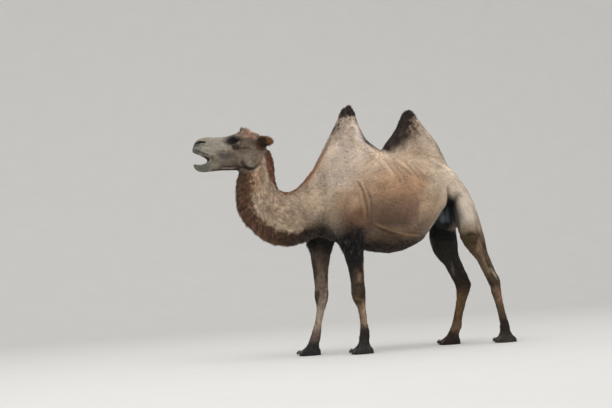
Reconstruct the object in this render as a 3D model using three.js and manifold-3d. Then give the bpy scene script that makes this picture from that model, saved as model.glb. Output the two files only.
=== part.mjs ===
// A two-humped camel in its short summer coat, life size, in mid stride and calling with its mouth open.
//
// Millimetres, +Z up. The camel faces -X and its left side is towards -Y. The origin is on the ground, in
// the middle of the animal's length and width. The flesh is made whole from lofts and rounded masses, joined,
// and then parted with thin cuts into the lengths that a person would name. Eyes, ears, nails, tongue and
// teeth are solids of their own. Outlines reach out to the tips of the coat.

import * as THREE from "three";
import { mergeVertices } from "three/addons/utils/BufferGeometryUtils.js";
import Module from "manifold-3d";

const wasm = await Module();
wasm.setup();

// ---------------------------------------------------------------- driving dimensions

const GAP = 0.5; // width of the cut between two neighbours
const LEFT = -1; // sign of Y on the camel's left side
const RIGHT = 1;
const SIDES = { left: LEFT, right: RIGHT };

const EYE_RADIUS = 20;
const EYE = { x: -1036, out: 75, z: 1842 }; // centre of an eyeball
const FOOT_LENGTH = 202;
const FOOT_HALF_WIDTH = 88;
const FORE_TRACK = 185; // from the midline to the middle of a fore foot
const HIND_TRACK = 160;
const TOE_SPREAD = 41; // from the middle of a foot to the middle of a toe

const COAT_PALE = 0xb29a80;
const COAT_FACE = 0x95887a;
const COAT_DARK = 0x4a382c;
const COAT_LEG = 0x6b5441;
const HORN = 0x2b2521;
const TONGUE = 0x8a5a55;
const TOOTH = 0xd8ccb0;

// ---------------------------------------------------------------- solids

const vec = (x, y, z) => new THREE.Vector3(x, y, z);
const rad = THREE.MathUtils.degToRad;

function solid(geometry) {
  const bare = new THREE.BufferGeometry().setAttribute("position", geometry.getAttribute("position").clone());
  if (geometry.index) bare.setIndex(geometry.index.clone());
  const merged = mergeVertices(bare, 1e-4);
  return new wasm.Manifold(
    new wasm.Mesh({
      numProp: 3,
      vertProperties: merged.attributes.position.array,
      triVerts: new Uint32Array(merged.index.array),
    }),
  );
}

function joined(solids) {
  return solids.reduce((whole, next) => whole.add(next));
}

function smoothLine(points) {
  return new THREE.CatmullRomCurve3(points, false, "catmullrom", 0.5);
}

// A loft through stations. A station's section meets the outline in side view at its front (or top) and back
// (or bottom) point, both [x, z]. It is half wide to each side of out, its distance from the midline. bias
// moves the widest place from the middle towards the front point, and square above 2 makes an ellipse boxier.
function loft(stations, { sides = 16, steps = 2, side = LEFT } = {}) {
  const fronts = smoothLine(stations.map((s) => vec(s.front[0], 0, s.front[1])));
  const backs = smoothLine(stations.map((s) => vec(s.back[0], 0, s.back[1])));
  const widths = smoothLine(stations.map((s) => vec(s.out ?? 0, s.half, 0)));
  const shapes = smoothLine(stations.map((s) => vec(s.bias ?? 0, s.square ?? 2, 0)));
  const rings = (stations.length - 1) * steps;
  const places = [];
  const faces = [];
  for (let i = 0; i <= rings; i++) {
    const t = i / rings;
    const front = fronts.getPoint(t);
    const back = backs.getPoint(t);
    const middle = front.clone().add(back).multiplyScalar(0.5);
    const reach = front.clone().sub(back).multiplyScalar(0.5);
    const { x: out, y: half } = widths.getPoint(t);
    const { x: bias, y: square } = shapes.getPoint(t);
    const rounded = (v) => Math.sign(v) * Math.abs(v) ** (2 / square);
    for (let k = 0; k < sides; k++) {
      const angle = (2 * Math.PI * k) / sides;
      const along = rounded(Math.cos(angle));
      const place = middle.clone().addScaledVector(reach, along + bias * (1 - along * along));
      place.y = side * (out + half * rounded(Math.sin(angle)));
      places.push(place);
    }
  }
  const tips = places.length;
  for (const ring of [0, rings]) {
    const rim = places.slice(ring * sides, (ring + 1) * sides);
    places.push(rim.reduce((sum, p) => sum.add(p), vec(0, 0, 0)).divideScalar(sides));
  }
  for (let k = 0; k < sides; k++) {
    const next = (k + 1) % sides;
    for (let i = 0; i < rings; i++) {
      const [a, b] = [i * sides, (i + 1) * sides];
      faces.push([a + k, a + next, b + next], [a + k, b + next, b + k]);
    }
    faces.push([tips, next, k], [tips + 1, rings * sides + k, rings * sides + next]);
  }
  const geometry = new THREE.BufferGeometry().setFromPoints(places).setIndex(faces.flat());
  const made = solid(geometry);
  return made.volume() < 0 ? solid(geometry.setIndex(faces.flatMap(([a, b, c]) => [a, c, b]))) : made;
}

// A rounded mass, such as a muscle: an ellipsoid, its -X end raised by pitch, and turned by yaw from above.
function mass([x, y, z], [long, wide, high], { pitch = 0, yaw = 0, around = 10, up = 5 } = {}) {
  const geometry = new THREE.SphereGeometry(1, around, up)
    .rotateX(Math.PI / 2)
    .scale(long, wide, high)
    .rotateY(rad(pitch))
    .rotateZ(rad(yaw))
    .translate(x, y, z);
  return solid(geometry);
}

// An outline in side view, [x, z] points, drawn out from one distance from the midline to another.
function slab(outline, from, to) {
  const shape = new THREE.Shape(outline.map(([x, z]) => new THREE.Vector2(x, z)));
  const geometry = new THREE.ExtrudeGeometry(shape, { depth: to - from, bevelEnabled: false });
  return solid(geometry.rotateX(Math.PI / 2).translate(0, to, 0));
}

// A thin cut that follows a line of [x, z] points in side view, from one distance from the midline to
// another.
function cut(line, from = -600, to = 600) {
  const plates = line.slice(1).map((end, i) => {
    const start = line[i];
    const [dx, dz] = [end[0] - start[0], end[1] - start[1]];
    const plate = new THREE.BoxGeometry(Math.hypot(dx, dz) + GAP, to - from, GAP)
      .rotateY(-Math.atan2(dz, dx))
      .translate((start[0] + end[0]) / 2, (from + to) / 2, (start[1] + end[1]) / 2);
    return solid(plate);
  });
  return joined(plates);
}

const bothSides = (make) => [make(LEFT), make(RIGHT)];

// ---------------------------------------------------------------- trunk and humps

const trunk = loft(
  [
    { front: [-418, 1330], back: [-414, 1130], half: 70 }, // breast
    { front: [-385, 1450], back: [-380, 1040], half: 168 },
    { front: [-290, 1575], back: [-285, 996], half: 226, bias: 0.04 }, // shoulder
    { front: [-150, 1655], back: [-165, 952], half: 250 },
    { front: [10, 1700], back: [-5, 893], half: 276, bias: -0.02 }, // withers and girth
    { front: [170, 1722], back: [150, 856], half: 322, bias: -0.05 },
    { front: [330, 1730], back: [300, 830], half: 376, bias: -0.07 }, // last ribs
    { front: [480, 1728], back: [450, 852], half: 402, bias: -0.08 }, // belly at its widest
    { front: [620, 1712], back: [600, 930], half: 382, bias: -0.05 },
    { front: [745, 1675], back: [722, 1075], half: 326, bias: 0.02 }, // flank
    { front: [860, 1605], back: [838, 1232], half: 262, bias: 0.05 }, // hips
    { front: [960, 1492], back: [955, 1225], half: 222 },
    { front: [1042, 1388], back: [1042, 1205], half: 172 },
    { front: [1078, 1290], back: [1074, 1215], half: 70 }, // buttocks, under the tail
  ],
  { sides: 18, steps: 1 },
);

// A hump rises from a long base inside the trunk to a narrow crest that leans no way.
const frontHump = loft(
  [
    { front: [-400, 1440], back: [470, 1440], half: 232 },
    { front: [-352, 1590], back: [380, 1650], half: 208 },
    { front: [-290, 1692], back: [268, 1752], half: 180 },
    { front: [-214, 1818], back: [168, 1826], half: 143 },
    { front: [-162, 1905], back: [124, 1905], half: 112 },
    { front: [-112, 1990], back: [92, 1990], half: 84 },
    { front: [-76, 2062], back: [74, 2066], half: 58 },
    { front: [-38, 2108], back: [54, 2110], half: 36 },
    { front: [-8, 2130], back: [32, 2130], half: 14 },
  ],
  { sides: 16, steps: 1 },
);

const rearHump = loft(
  [
    { front: [180, 1440], back: [1000, 1330], half: 252 },
    { front: [250, 1660], back: [942, 1500], half: 232 },
    { front: [322, 1788], back: [872, 1680], half: 190 },
    { front: [396, 1868], back: [820, 1796], half: 150 },
    { front: [450, 1938], back: [750, 1888], half: 114 },
    { front: [492, 2022], back: [688, 1964], half: 82 },
    { front: [524, 2066], back: [640, 2036], half: 54 },
    { front: [560, 2088], back: [602, 2080], half: 20 },
  ],
  { sides: 16, steps: 1 },
);

const breastPad = mass([-62, 0, 932], [92, 72, 38]); // the callus that it lies down on
const groin = mass([895, 0, 1160], [170, 112, 160], { pitch: -12 });

// ---------------------------------------------------------------- neck

const neck = loft(
  [
    { front: [-770, 1815], back: [-905, 1690], half: 62 }, // inside the head
    { front: [-716, 1772], back: [-1002, 1600], half: 86 }, // behind the jaw
    { front: [-686, 1706], back: [-1024, 1500], half: 97, bias: 0.06 },
    { front: [-680, 1615], back: [-1036, 1385], half: 104, bias: 0.08 },
    { front: [-682, 1522], back: [-1030, 1280], half: 110, bias: 0.08 },
    { front: [-662, 1440], back: [-985, 1165], half: 120, bias: 0.08 },
    { front: [-618, 1405], back: [-888, 1046], half: 132, bias: 0.08 }, // the bend
    { front: [-560, 1411], back: [-748, 968], half: 146, bias: 0.06 },
    { front: [-498, 1442], back: [-602, 941], half: 162, bias: 0.03 },
    { front: [-430, 1500], back: [-470, 962], half: 184 },
    { front: [-352, 1588], back: [-360, 1010], half: 205 }, // inside the breast
    { front: [-250, 1640], back: [-250, 1060], half: 190 },
  ],
  { sides: 14, steps: 1 },
);

// ---------------------------------------------------------------- head

const face = loft(
  [
    { front: [-1385, 1800], back: [-1386, 1652], half: 24 }, // lips
    { front: [-1369, 1838], back: [-1378, 1626], half: 45, bias: 0.1 },
    { front: [-1334, 1873], back: [-1348, 1598], half: 57, bias: 0.12, square: 2.2 }, // nostrils and chin
    { front: [-1282, 1889], back: [-1298, 1589], half: 58, bias: 0.08, square: 2.3 },
    { front: [-1222, 1890], back: [-1236, 1594], half: 55, bias: 0.05, square: 2.3 }, // corner of the mouth
    { front: [-1150, 1888], back: [-1160, 1600], half: 59, bias: 0.05, square: 2.2 },
    { front: [-1085, 1893], back: [-1092, 1600], half: 70, bias: 0.12 },
    { front: [-1025, 1910], back: [-1024, 1599], half: 88, bias: 0.14 }, // eyes
    { front: [-962, 1925], back: [-958, 1597], half: 98, bias: 0.06 },
    { front: [-894, 1926], back: [-894, 1606], half: 101, bias: 0.02 }, // crown and jaw joint
    { front: [-832, 1908], back: [-846, 1650], half: 94, bias: 0.04 },
    { front: [-782, 1884], back: [-796, 1712], half: 74 },
    { front: [-744, 1848], back: [-756, 1768], half: 40 }, // poll
  ],
  { sides: 16, steps: 2 },
);

const forelock = mass([-936, 0, 1914], [70, 50, 40], { pitch: 8 });
const faceMasses = bothSides((side) => [
  mass([-926, side * 58, 1692], [98, 44, 98], { pitch: 14 }), // cheek muscle
  mass([-1028, side * 60, 1848], [76, 38, 50], { pitch: -8, yaw: side * -12 }), // rim of the eye socket
  mass([-968, side * 62, 1798], [120, 34, 40], { pitch: -6, yaw: side * -3 }), // cheek bone
]).flat();

// The open mouth is a gap between the lips that narrows to their corners, with a hollow behind it.
const gape = slab(
  [
    [-1460, 1782],
    [-1386, 1764],
    [-1318, 1739],
    [-1276, 1716],
    [-1253, 1695],
    [-1274, 1673],
    [-1316, 1659],
    [-1352, 1657],
    [-1386, 1668],
    [-1460, 1668],
  ],
  -120,
  120,
);
const fine = { around: 8 };
const palate = mass([-1262, 0, 1702], [104, 34, 32], { ...fine, pitch: -4 });
const mouthFloor = mass([-1290, 0, 1670], [86, 29, 27], fine);
const nostrils = bothSides((side) =>
  mass([-1332, side * 50, 1851], [40, 12, 7], { ...fine, pitch: -22, yaw: side * -20 }),
);
const lidSlits = bothSides((side) =>
  mass([EYE.x - 2, side * (EYE.out + 22), EYE.z - 1], [23, 17, 11], { ...fine, pitch: -12, yaw: side * -12 }),
);

// What is set into the flesh: grow widens a piece for the hollow that it sits in.
function eyeball(side, grow = 0) {
  return mass([EYE.x, side * EYE.out, EYE.z], Array(3).fill(EYE_RADIUS + grow));
}

// An ear is a small cup that points back and out, and opens to the side.
function ear(side) {
  const lean = { ...fine, pitch: 4, yaw: side * 16 };
  const shell = mass([-786, side * 102, 1832], [84, 22, 40], lean);
  return shell.subtract(mass([-768, side * 124, 1836], [60, 18, 24], lean));
}

function tongue() {
  return mass([-1244, 0, 1652], [54, 23, 15], { ...fine, pitch: -4 });
}

// Six lower front teeth on one gum, side by side round the front of the jaw.
function lowerTeeth() {
  const [jawEnd, arc, step] = [-1324, 24, 30];
  const gum = mass([jawEnd - 6, 0, 1645], [27, 22, 11], { around: 8, up: 4 });
  const teeth = [-2.5, -1.5, -0.5, 0.5, 1.5, 2.5].map((n) => {
    const a = rad(n * step);
    return mass([jawEnd - arc * Math.cos(a), arc * 0.8 * Math.sin(a), 1650], [6, 7, 9], { around: 5, up: 3 });
  });
  return joined([gum, ...teeth]);
}

// ---------------------------------------------------------------- legs

// girths are measured square to the leg's axis: fore and aft of it, out from the midline, and half to each
// side. at counts the joints down from the top.
function shaft(joints, girths, stout) {
  const axis = smoothLine(joints.map(([x, z]) => vec(x, 0, z)));
  return girths.map(({ at, fore, aft, ...rest }) => {
    const share = at / (joints.length - 1);
    const { x, z } = axis.getPoint(share);
    const down = axis.getTangent(share);
    return {
      front: [x + down.z * fore * stout, z - down.x * fore * stout],
      back: [x - down.z * aft * stout, z + down.x * aft * stout],
      ...rest,
    };
  });
}

// From the fetlock the foot spreads to a broad pad. middle is the pad's centre.
function footStations(fetlock, middle, out) {
  const toe = middle - FOOT_LENGTH / 2;
  const heel = middle + FOOT_LENGTH / 2;
  const front = (share, z) => [THREE.MathUtils.lerp(fetlock - 42, toe, share), z];
  const back = (share, z) => [THREE.MathUtils.lerp(fetlock + 42, heel, share), z];
  return [
    { front: front(0.28, 112), back: back(0.3, 104), out, half: 52 },
    { front: front(0.66, 74), back: back(0.7, 60), out, half: 68, bias: 0.1 },
    { front: [toe + 5, 36], back: [heel - 3, 28], out, half: FOOT_HALF_WIDTH - 4, bias: 0.16, square: 2.3 },
    { front: [toe, 14], back: [heel, 12], out, half: FOOT_HALF_WIDTH, bias: 0.16, square: 2.4 },
    { front: [toe + 8, -10], back: [heel - 6, -10], out, half: FOOT_HALF_WIDTH - 7, bias: 0.16, square: 2.4 },
  ];
}

const FORE_GIRTHS = [
  { at: 0, fore: 50, aft: 60, out: 140, half: 40 }, // top of the shoulder blade
  { at: 0.5, fore: 118, aft: 112, out: 165, half: 68 },
  { at: 1, fore: 170, aft: 150, out: 172, half: 86 }, // point of the shoulder
  { at: 1.5, fore: 174, aft: 156, out: 178, half: 86 },
  { at: 2, fore: 142, aft: 140, out: 186, half: 80 }, // elbow
  { at: 2.5, fore: 98, aft: 100, out: 184, half: 68 },
  { at: 3, fore: 76, aft: 73, out: 178, half: 56 }, // forearm
  { at: 3.5, fore: 65, aft: 62, out: 173, half: 50 },
  { at: 3.85, fore: 67, aft: 62, out: 170, half: 53 },
  { at: 4.1, fore: 65, aft: 58, out: 170, half: 53 }, // knee
  { at: 4.35, fore: 50, aft: 48, out: 172, half: 44 },
  { at: 4.65, fore: 38, aft: 38, out: 175, half: 35 }, // cannon
  { at: 5.4, fore: 34, aft: 35, out: 181, half: 32 },
  { at: 6, fore: 44, aft: 44, out: 185, half: 44 }, // fetlock
];

const HIND_GIRTHS = [
  { at: 0, fore: 70, aft: 84, out: 118, half: 66 }, // hip
  { at: 0.5, fore: 112, aft: 114, out: 136, half: 98 },
  { at: 1, fore: 122, aft: 120, out: 148, half: 104 }, // thigh
  { at: 1.5, fore: 128, aft: 120, out: 158, half: 96 },
  { at: 1.95, fore: 122, aft: 116, out: 165, half: 82 }, // stifle
  { at: 2.3, fore: 94, aft: 94, out: 167, half: 70 },
  { at: 2.65, fore: 70, aft: 80, out: 166, half: 61 },
  { at: 3.1, fore: 68, aft: 78, out: 162, half: 53 }, // shank
  { at: 3.6, fore: 68, aft: 74, out: 155, half: 44 },
  { at: 4, fore: 62, aft: 82, out: 151, half: 43 }, // hock
  { at: 4.25, fore: 56, aft: 66, out: 150, half: 42 },
  { at: 4.6, fore: 44, aft: 50, out: 152, half: 36 }, // cannon
  { at: 5.35, fore: 38, aft: 40, out: 156, half: 32 },
  { at: 6, fore: 42, aft: 43, out: 160, half: 41 }, // fetlock
];

// Each leg's joints in side view, from the trunk to the fetlock, the middle of the pad that it stands on, and
// the line round its top where it is parted from the trunk.
const LEGS = [
  {
    name: "fore_left",
    side: LEFT,
    joints: [[-130, 1500], [-128, 1240], [-106, 985], [-72, 740], [-58, 490], [-38, 330], [-36, 168]],
    pad: -62,
    stout: 1,
    root: [[-262, 850], [-262, 1012], [44, 1004], [44, 850]],
  },
  {
    name: "fore_right",
    side: RIGHT,
    joints: [[-180, 1500], [-215, 1240], [-254, 985], [-270, 740], [-277, 490], [-307, 330], [-348, 168]],
    pad: -410,
    stout: 1,
    root: [[-402, 850], [-402, 1012], [-104, 1004], [-104, 850]],
  },
  {
    name: "hind_left",
    side: LEFT,
    joints: [[940, 1370], [1000, 1110], [1054, 870], [1128, 690], [1204, 520], [1252, 330], [1280, 162]],
    pad: 1288,
    stout: 0.95,
    root: [[880, 850], [850, 1180], [1120, 1190], [1240, 850]],
  },
  {
    name: "hind_right",
    side: RIGHT,
    joints: [[890, 1370], [894, 1100], [924, 850], [990, 680], [1050, 515], [1008, 320], [968, 158]],
    pad: 896,
    stout: 1.12,
    root: [[760, 850], [735, 1120], [1045, 1215], [1090, 850]],
  },
].map((leg) =>
  leg.name.startsWith("fore")
    ? { ...leg, isFore: true, girths: FORE_GIRTHS, track: FORE_TRACK }
    : { ...leg, isFore: false, girths: HIND_GIRTHS, track: HIND_TRACK },
);

function leg({ side, joints, pad, stout, girths, track }) {
  const shank = shaft(joints, girths, stout);
  const foot = footStations(joints.at(-1)[0], pad, track);
  const whole = loft([...shank, ...foot], { sides: 10, steps: 1, side });
  const cleft = mass([pad - FOOT_LENGTH / 2 - 4, side * track, 40], [56, 7, 70], { around: 6, up: 4 });
  return whole.subtract(cleft);
}

// A foot's two nails lie on the front of its toes, just clear of the ground.
function nails({ side, pad, track }) {
  return [-1, 1].map((inward) => {
    const centre = [pad - FOOT_LENGTH / 2 + 20, side * track + inward * TOE_SPREAD, 30];
    return mass(centre, [34, 22, 20], { around: 6, up: 3, pitch: -22 });
  });
}

// ---------------------------------------------------------------- tail

const tail = loft(
  [
    { front: [1020, 1425], back: [985, 1335], half: 42 },
    { front: [1088, 1356], back: [1052, 1290], half: 36 },
    { front: [1124, 1262], back: [1086, 1236], half: 28 },
    { front: [1140, 1140], back: [1102, 1134], half: 22 },
    { front: [1148, 1010], back: [1110, 1010], half: 22 },
    { front: [1172, 890], back: [1120, 890], half: 30 }, // tuft
    { front: [1168, 810], back: [1126, 812], half: 24 },
    { front: [1154, 750], back: [1140, 752], half: 8 },
  ],
  { sides: 8, steps: 1 },
);

// ---------------------------------------------------------------- joined, hollowed and parted

const ground = slab([[-2000, -200], [2000, -200], [2000, 0], [-2000, 0]], -600, 600);
const hollows = [
  gape,
  palate,
  mouthFloor,
  ground,
  ...nostrils,
  ...lidSlits,
  ...bothSides((side) => eyeball(side, GAP)),
];
const flesh = joined([
  ...[trunk, frontHump, rearHump, breastPad, groin, neck, face, forelock, tail],
  ...faceMasses,
  ...LEGS.map(leg),
]).subtract(joined(hollows));

// The separate bodies of a solid, without any bubble sealed inside.
function bodies(made) {
  return made.decompose().filter((body) => body.volume() > 0);
}

const height = (body) => {
  const { min, max } = body.boundingBox();
  return (min[2] + max[2]) / 2;
};

// A leg leaves the trunk along its root line and a wall on its inner side.
function rootCut({ side, root, isFore }) {
  const inner = side * (isFore ? 95 : 44);
  const [from, to] = [inner, side * 500].sort((a, b) => a - b);
  return cut(root, from, to).add(slab(root, inner - GAP / 2, inner + GAP / 2));
}

// A cut square across a leg, at joints down from its top.
function acrossLeg({ joints, side, track }, at) {
  const axis = smoothLine(joints.map(([x, z]) => vec(x, 0, z)));
  const { x, z } = axis.getPoint(at / (joints.length - 1));
  const down = axis.getTangent(at / (joints.length - 1)).multiplyScalar(190);
  const [from, to] = [side * track - 110, side * track + 110];
  return cut([[x + down.z, z - down.x], [x - down.z, z + down.x]], from, to);
}

// Cuts through the trunk, neck and head, each a line in side view.
const CORE_CUTS = [
  cut([[-1262, 1695], [-960, 1620], [-952, 1570]]), // jaw
  cut([[-1070, 1591], [-900, 1588], [-826, 1650], [-786, 1740], [-738, 1795], [-690, 1822]]), // head
  cut([[-1062, 1258], [-652, 1543]]),
  cut([[-766, 925], [-543, 1450]]),
  cut([[-440, 880], [-402, 1000], [-398, 1260], [-290, 1700]]), // neck from trunk
  cut([[-330, 1672], [0, 1702], [345, 1742]]), // front hump
  cut([[325, 1795], [560, 1720], [930, 1612]]), // rear hump
  cut([[1018, 1430], [1044, 1388], [1084, 1290], [1084, 1190]], -60, 60), // tail
];

// A place inside each length of the trunk, neck and head, which names it.
const CORE_PIECES = [
  { name: "head", at: [-1100, 0, 1800], color: COAT_FACE },
  { name: "lower_jaw", at: [-1100, 0, 1625], color: COAT_FACE },
  { name: "neck_upper", at: [-850, 0, 1500], color: COAT_PALE },
  { name: "neck_middle", at: [-800, 0, 1180], color: COAT_PALE },
  { name: "neck_lower", at: [-520, 0, 1180], color: COAT_PALE },
  { name: "trunk", at: [300, 0, 1300], color: COAT_PALE },
  { name: "hump_front", at: [0, 0, 1850], color: COAT_DARK },
  { name: "hump_rear", at: [600, 0, 1850], color: COAT_DARK },
  { name: "tail", at: [1128, 0, 1080], color: COAT_DARK },
];

const group = new THREE.Group();

function place(name, made, color, roughness = 0.9) {
  const { vertProperties, triVerts } = made.getMesh();
  const geometry = new THREE.BufferGeometry()
    .setAttribute("position", new THREE.BufferAttribute(new Float32Array(vertProperties), 3))
    .setIndex(new THREE.BufferAttribute(new Uint32Array(triVerts), 1));
  const mesh = new THREE.Mesh(geometry, new THREE.MeshStandardMaterial({ color, roughness, metalness: 0 }));
  mesh.name = name;
  group.add(mesh);
}

function placeCore(core) {
  const lengths = bodies(core.subtract(joined(CORE_CUTS)));
  for (const { name, at, color } of CORE_PIECES) {
    const seed = mass(at, [1, 1, 1]);
    place(name, lengths.find((body) => body.intersect(seed).volume() > 0), color);
  }
}

const inside = ({ min, max }, side, x) => Math.sign(min[1] + max[1]) === side && min[0] < x && x < max[0];

function placeLeg(each, whole) {
  const { name, isFore, joints } = each;
  const joins = isFore ? [3.95, 5.95] : [2.3, 4.05, 5.95]; // knee and fetlock, or stifle, hock and fetlock
  const names = isFore ? ["forearm", "cannon", "foot"] : ["thigh", "shank", "cannon", "foot"];
  const lengths = bodies(whole.subtract(joined(joins.map((at) => acrossLeg(each, at)))));
  lengths.sort((a, b) => height(b) - height(a));
  names.forEach((length, i) => place(`${name}_${length}`, lengths[i], COAT_LEG));
  nails(each).forEach((nail, i) => {
    place(`${name}_nail_${i + 1}`, setOn(nail, lengths.at(-1), [-1, 0, 0]), HORN, 0.5);
  });
}

// What is left of a piece outside the flesh that it sits on, a cut's width clear of it.
function setOn(made, under, away) {
  const outside = bodies(made.subtract(under)).sort((a, b) => b.volume() - a.volume());
  return outside[0].translate(away.map((v) => v * GAP));
}

const parted = bodies(flesh.subtract(joined(LEGS.map(rootCut)))).sort((a, b) => b.volume() - a.volume());
placeCore(parted[0]);
for (const each of LEGS) {
  placeLeg(each, parted.slice(1).find((body) => inside(body.boundingBox(), each.side, each.pad)));
}
for (const [word, side] of Object.entries(SIDES)) {
  place(`eye_${word}`, eyeball(side), HORN, 0.1);
  place(`ear_${word}`, setOn(ear(side), flesh, [0, side, 0]), COAT_DARK);
}
place("tongue", setOn(tongue(), flesh, [0, 0, 1]), TONGUE, 0.5);
place("lower_teeth", setOn(lowerTeeth(), flesh, [0, 0, 1]), TOOTH, 0.4);

const box = new THREE.Box3().setFromObject(group);
group.position.set(-(box.min.x + box.max.x) / 2, -(box.min.y + box.max.y) / 2, -box.min.z);

export default group;
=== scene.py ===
import math

import bmesh
import bpy
import numpy as np
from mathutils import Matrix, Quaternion, Vector
from mathutils.bvhtree import BVHTree


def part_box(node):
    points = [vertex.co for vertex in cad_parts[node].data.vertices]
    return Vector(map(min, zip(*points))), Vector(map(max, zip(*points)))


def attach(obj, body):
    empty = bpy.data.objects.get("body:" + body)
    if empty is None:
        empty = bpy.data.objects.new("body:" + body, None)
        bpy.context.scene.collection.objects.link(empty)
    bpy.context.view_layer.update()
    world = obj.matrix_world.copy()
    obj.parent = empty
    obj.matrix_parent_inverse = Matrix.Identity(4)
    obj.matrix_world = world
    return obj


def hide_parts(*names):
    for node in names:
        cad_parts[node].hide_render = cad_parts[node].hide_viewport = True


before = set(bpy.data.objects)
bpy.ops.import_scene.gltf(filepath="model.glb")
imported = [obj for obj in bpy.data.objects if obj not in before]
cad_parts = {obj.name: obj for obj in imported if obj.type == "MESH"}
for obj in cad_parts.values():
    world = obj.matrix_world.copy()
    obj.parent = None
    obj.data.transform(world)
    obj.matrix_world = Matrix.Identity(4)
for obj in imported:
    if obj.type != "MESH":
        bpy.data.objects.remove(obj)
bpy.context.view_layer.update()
chance = np.random.default_rng(7)

# ---------------------------------------------------------------- the skin's blank
# The solids of the flesh are fused into one closed surface, as the hide of a camel is one. Their facets are
# rounded off, most on the trunk and least on the head, tail and feet, and what that shrinks is given back.

HARD = ("eye", "tongue", "lower_teeth")
FLESH = sorted(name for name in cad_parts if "nail" not in name and not name.startswith(HARD))
VOXEL = 0.006
MELD = 0.0006  # how far each solid grows, so that neighbours meet


def middle_of(node):
    return np.mean(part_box(node), axis=0)


EYE_CENTRES = {side: middle_of("eye_" + side) for side in ("left", "right")}


def step(value, low, high):
    """0 below low, 1 above high and smooth between; the other way round when low is above high."""
    t = np.clip((value - low) / (high - low), 0, 1)
    return t * t * (3 - 2 * t)


def rows_of(items, what, width, kind=np.float32):
    """One property of each item of a mesh, as rows."""
    values = np.empty(len(items) * width, kind)
    items.foreach_get(what, values)
    return values.reshape(-1, width)


def points_of(mesh):
    """The places of the mesh's vertices and their normals."""
    return rows_of(mesh.vertices, "co", 3).astype(float), rows_of(mesh.vertices, "normal", 3).astype(float)


def set_points(mesh, places):
    """Moves the mesh's vertices to new places."""
    mesh.vertices.foreach_set("co", places.astype(np.float32).ravel())
    mesh.update()


def placed(name, data):
    """A new object in the scene."""
    item = bpy.data.objects.new(name, data)
    bpy.context.scene.collection.objects.link(item)
    return item


def shade_smooth(mesh):
    mesh.polygons.foreach_set("use_smooth", np.ones(len(mesh.polygons), bool))


def fused(nodes, grow):
    """The meshes of the nodes in one, each grown a little so that neighbours meet."""
    bm = bmesh.new()
    for name in nodes:
        bm.from_mesh(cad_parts[name].data)
    bmesh.ops.remove_doubles(bm, verts=bm.verts, dist=1e-5)
    bm.normal_update()
    for vertex in bm.verts:
        vertex.co += vertex.normal * grow
    mesh = bpy.data.meshes.new("fused")
    bm.to_mesh(mesh)
    bm.free()
    return mesh


def modified(mesh, kind, groups=None, **settings):
    """The mesh with one modifier applied. groups maps a weight to the vertices that have it."""
    worker = placed("worker", mesh)
    if groups:
        weights = worker.vertex_groups.new(name="weight")
        for weight, members in groups.items():
            weights.add(members.tolist(), weight, "REPLACE")
        settings["vertex_group"] = "weight"
    modifier = worker.modifiers.new("work", kind)
    for key, value in settings.items():
        setattr(modifier, key, value)
    graph = bpy.context.evaluated_depsgraph_get()
    made = bpy.data.meshes.new_from_object(worker.evaluated_get(graph))
    bpy.data.objects.remove(worker)
    return made


def edges_of(mesh):
    return rows_of(mesh.edges, "vertices", 2, np.int32)


def averaged(values, ends, times):
    """A value on each vertex, averaged with its neighbours some number of times."""
    count = len(values)
    a, b = ends.T
    degree = np.bincount(a, minlength=count) + np.bincount(b, minlength=count)
    for _ in range(times):
        total = np.bincount(a, values[b], count) + np.bincount(b, values[a], count)
        values = 0.5 * values + 0.5 * total / np.maximum(degree, 1)
    return values


def roundness(P):
    """How much the facets are rounded off at each place, from 0 to 1."""
    x, y, z = P.T
    head = step(x, -0.72, -0.78) * step(z, 1.50, 1.62)
    tail = step(x, 1.0, 1.06) * step(np.abs(y), 0.06, 0.045) * step(z, 1.36, 1.3)
    legs, feet, trunk = step(z, 0.78, 1.0), step(z, 0.1, 0.3), step(x, -0.75, -0.45)
    soft = np.ones(len(P))
    for least, share in ((0.07, legs), (0.03, feet), (0.25, trunk)):
        soft = np.minimum(soft, least + (1 - least) * share)
    soft = soft * (1 - head) + 0.045 * head
    soft = np.minimum(soft, 0.08 + 0.92 * step(z, 2.05, 1.8))
    return soft * (1 - tail) + 0.03 * tail


def smoothed(mesh, shares, parts, times):
    """The mesh smoothed some number of times, by a share on each vertex that is rounded to whole parts."""
    shares = np.round(shares * parts) / parts
    groups = {float(share): np.where(shares == share)[0] for share in np.unique(shares) if share}
    return modified(mesh, "SMOOTH", groups, factor=0.5, iterations=times)


blank = modified(fused([*FLESH, "eye_left", "eye_right"], MELD), "REMESH", mode="VOXEL", voxel_size=VOXEL)
skin_mesh = smoothed(blank, roundness(points_of(blank)[0]), 24, 260)

holder = placed("holder", blank)
blank_tree = BVHTree.FromObject(holder, bpy.context.evaluated_depsgraph_get())
bpy.data.objects.remove(holder)
P, N = points_of(skin_mesh)
lost = np.array([(blank_tree.find_nearest(p)[0] - Vector(p)).dot(Vector(n)) for p, n in zip(P, N)])
lost = averaged(np.clip(lost, -0.03, 0.03), edges_of(skin_mesh), 60)
set_points(skin_mesh, P + N * lost[:, None])

# The humps run into the back and the neck with no edge.
P, N = points_of(skin_mesh)
blend = step(P[:, 2], 1.44, 1.54) * step(P[:, 2], 1.90, 1.80) * step(P[:, 0], -0.42, -0.34)
skin_mesh = smoothed(skin_mesh, blend * step(np.abs(N[:, 1]), 0.2, 0.5), 6, 220)

# ---------------------------------------------------------------- finer faces on the head
# Lids, lips and nostrils are only millimetres wide, so the head's faces are divided once more, and those
# round the eyes, nostrils and mouth's corners twice.

NOSTRILS = [np.array([-1.318, side * 0.046, 1.848]) for side in (-1, 1)]
MOUTH_CORNERS = [np.array([-1.243, side * 0.05, 1.70]) for side in (-1, 1)]


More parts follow.
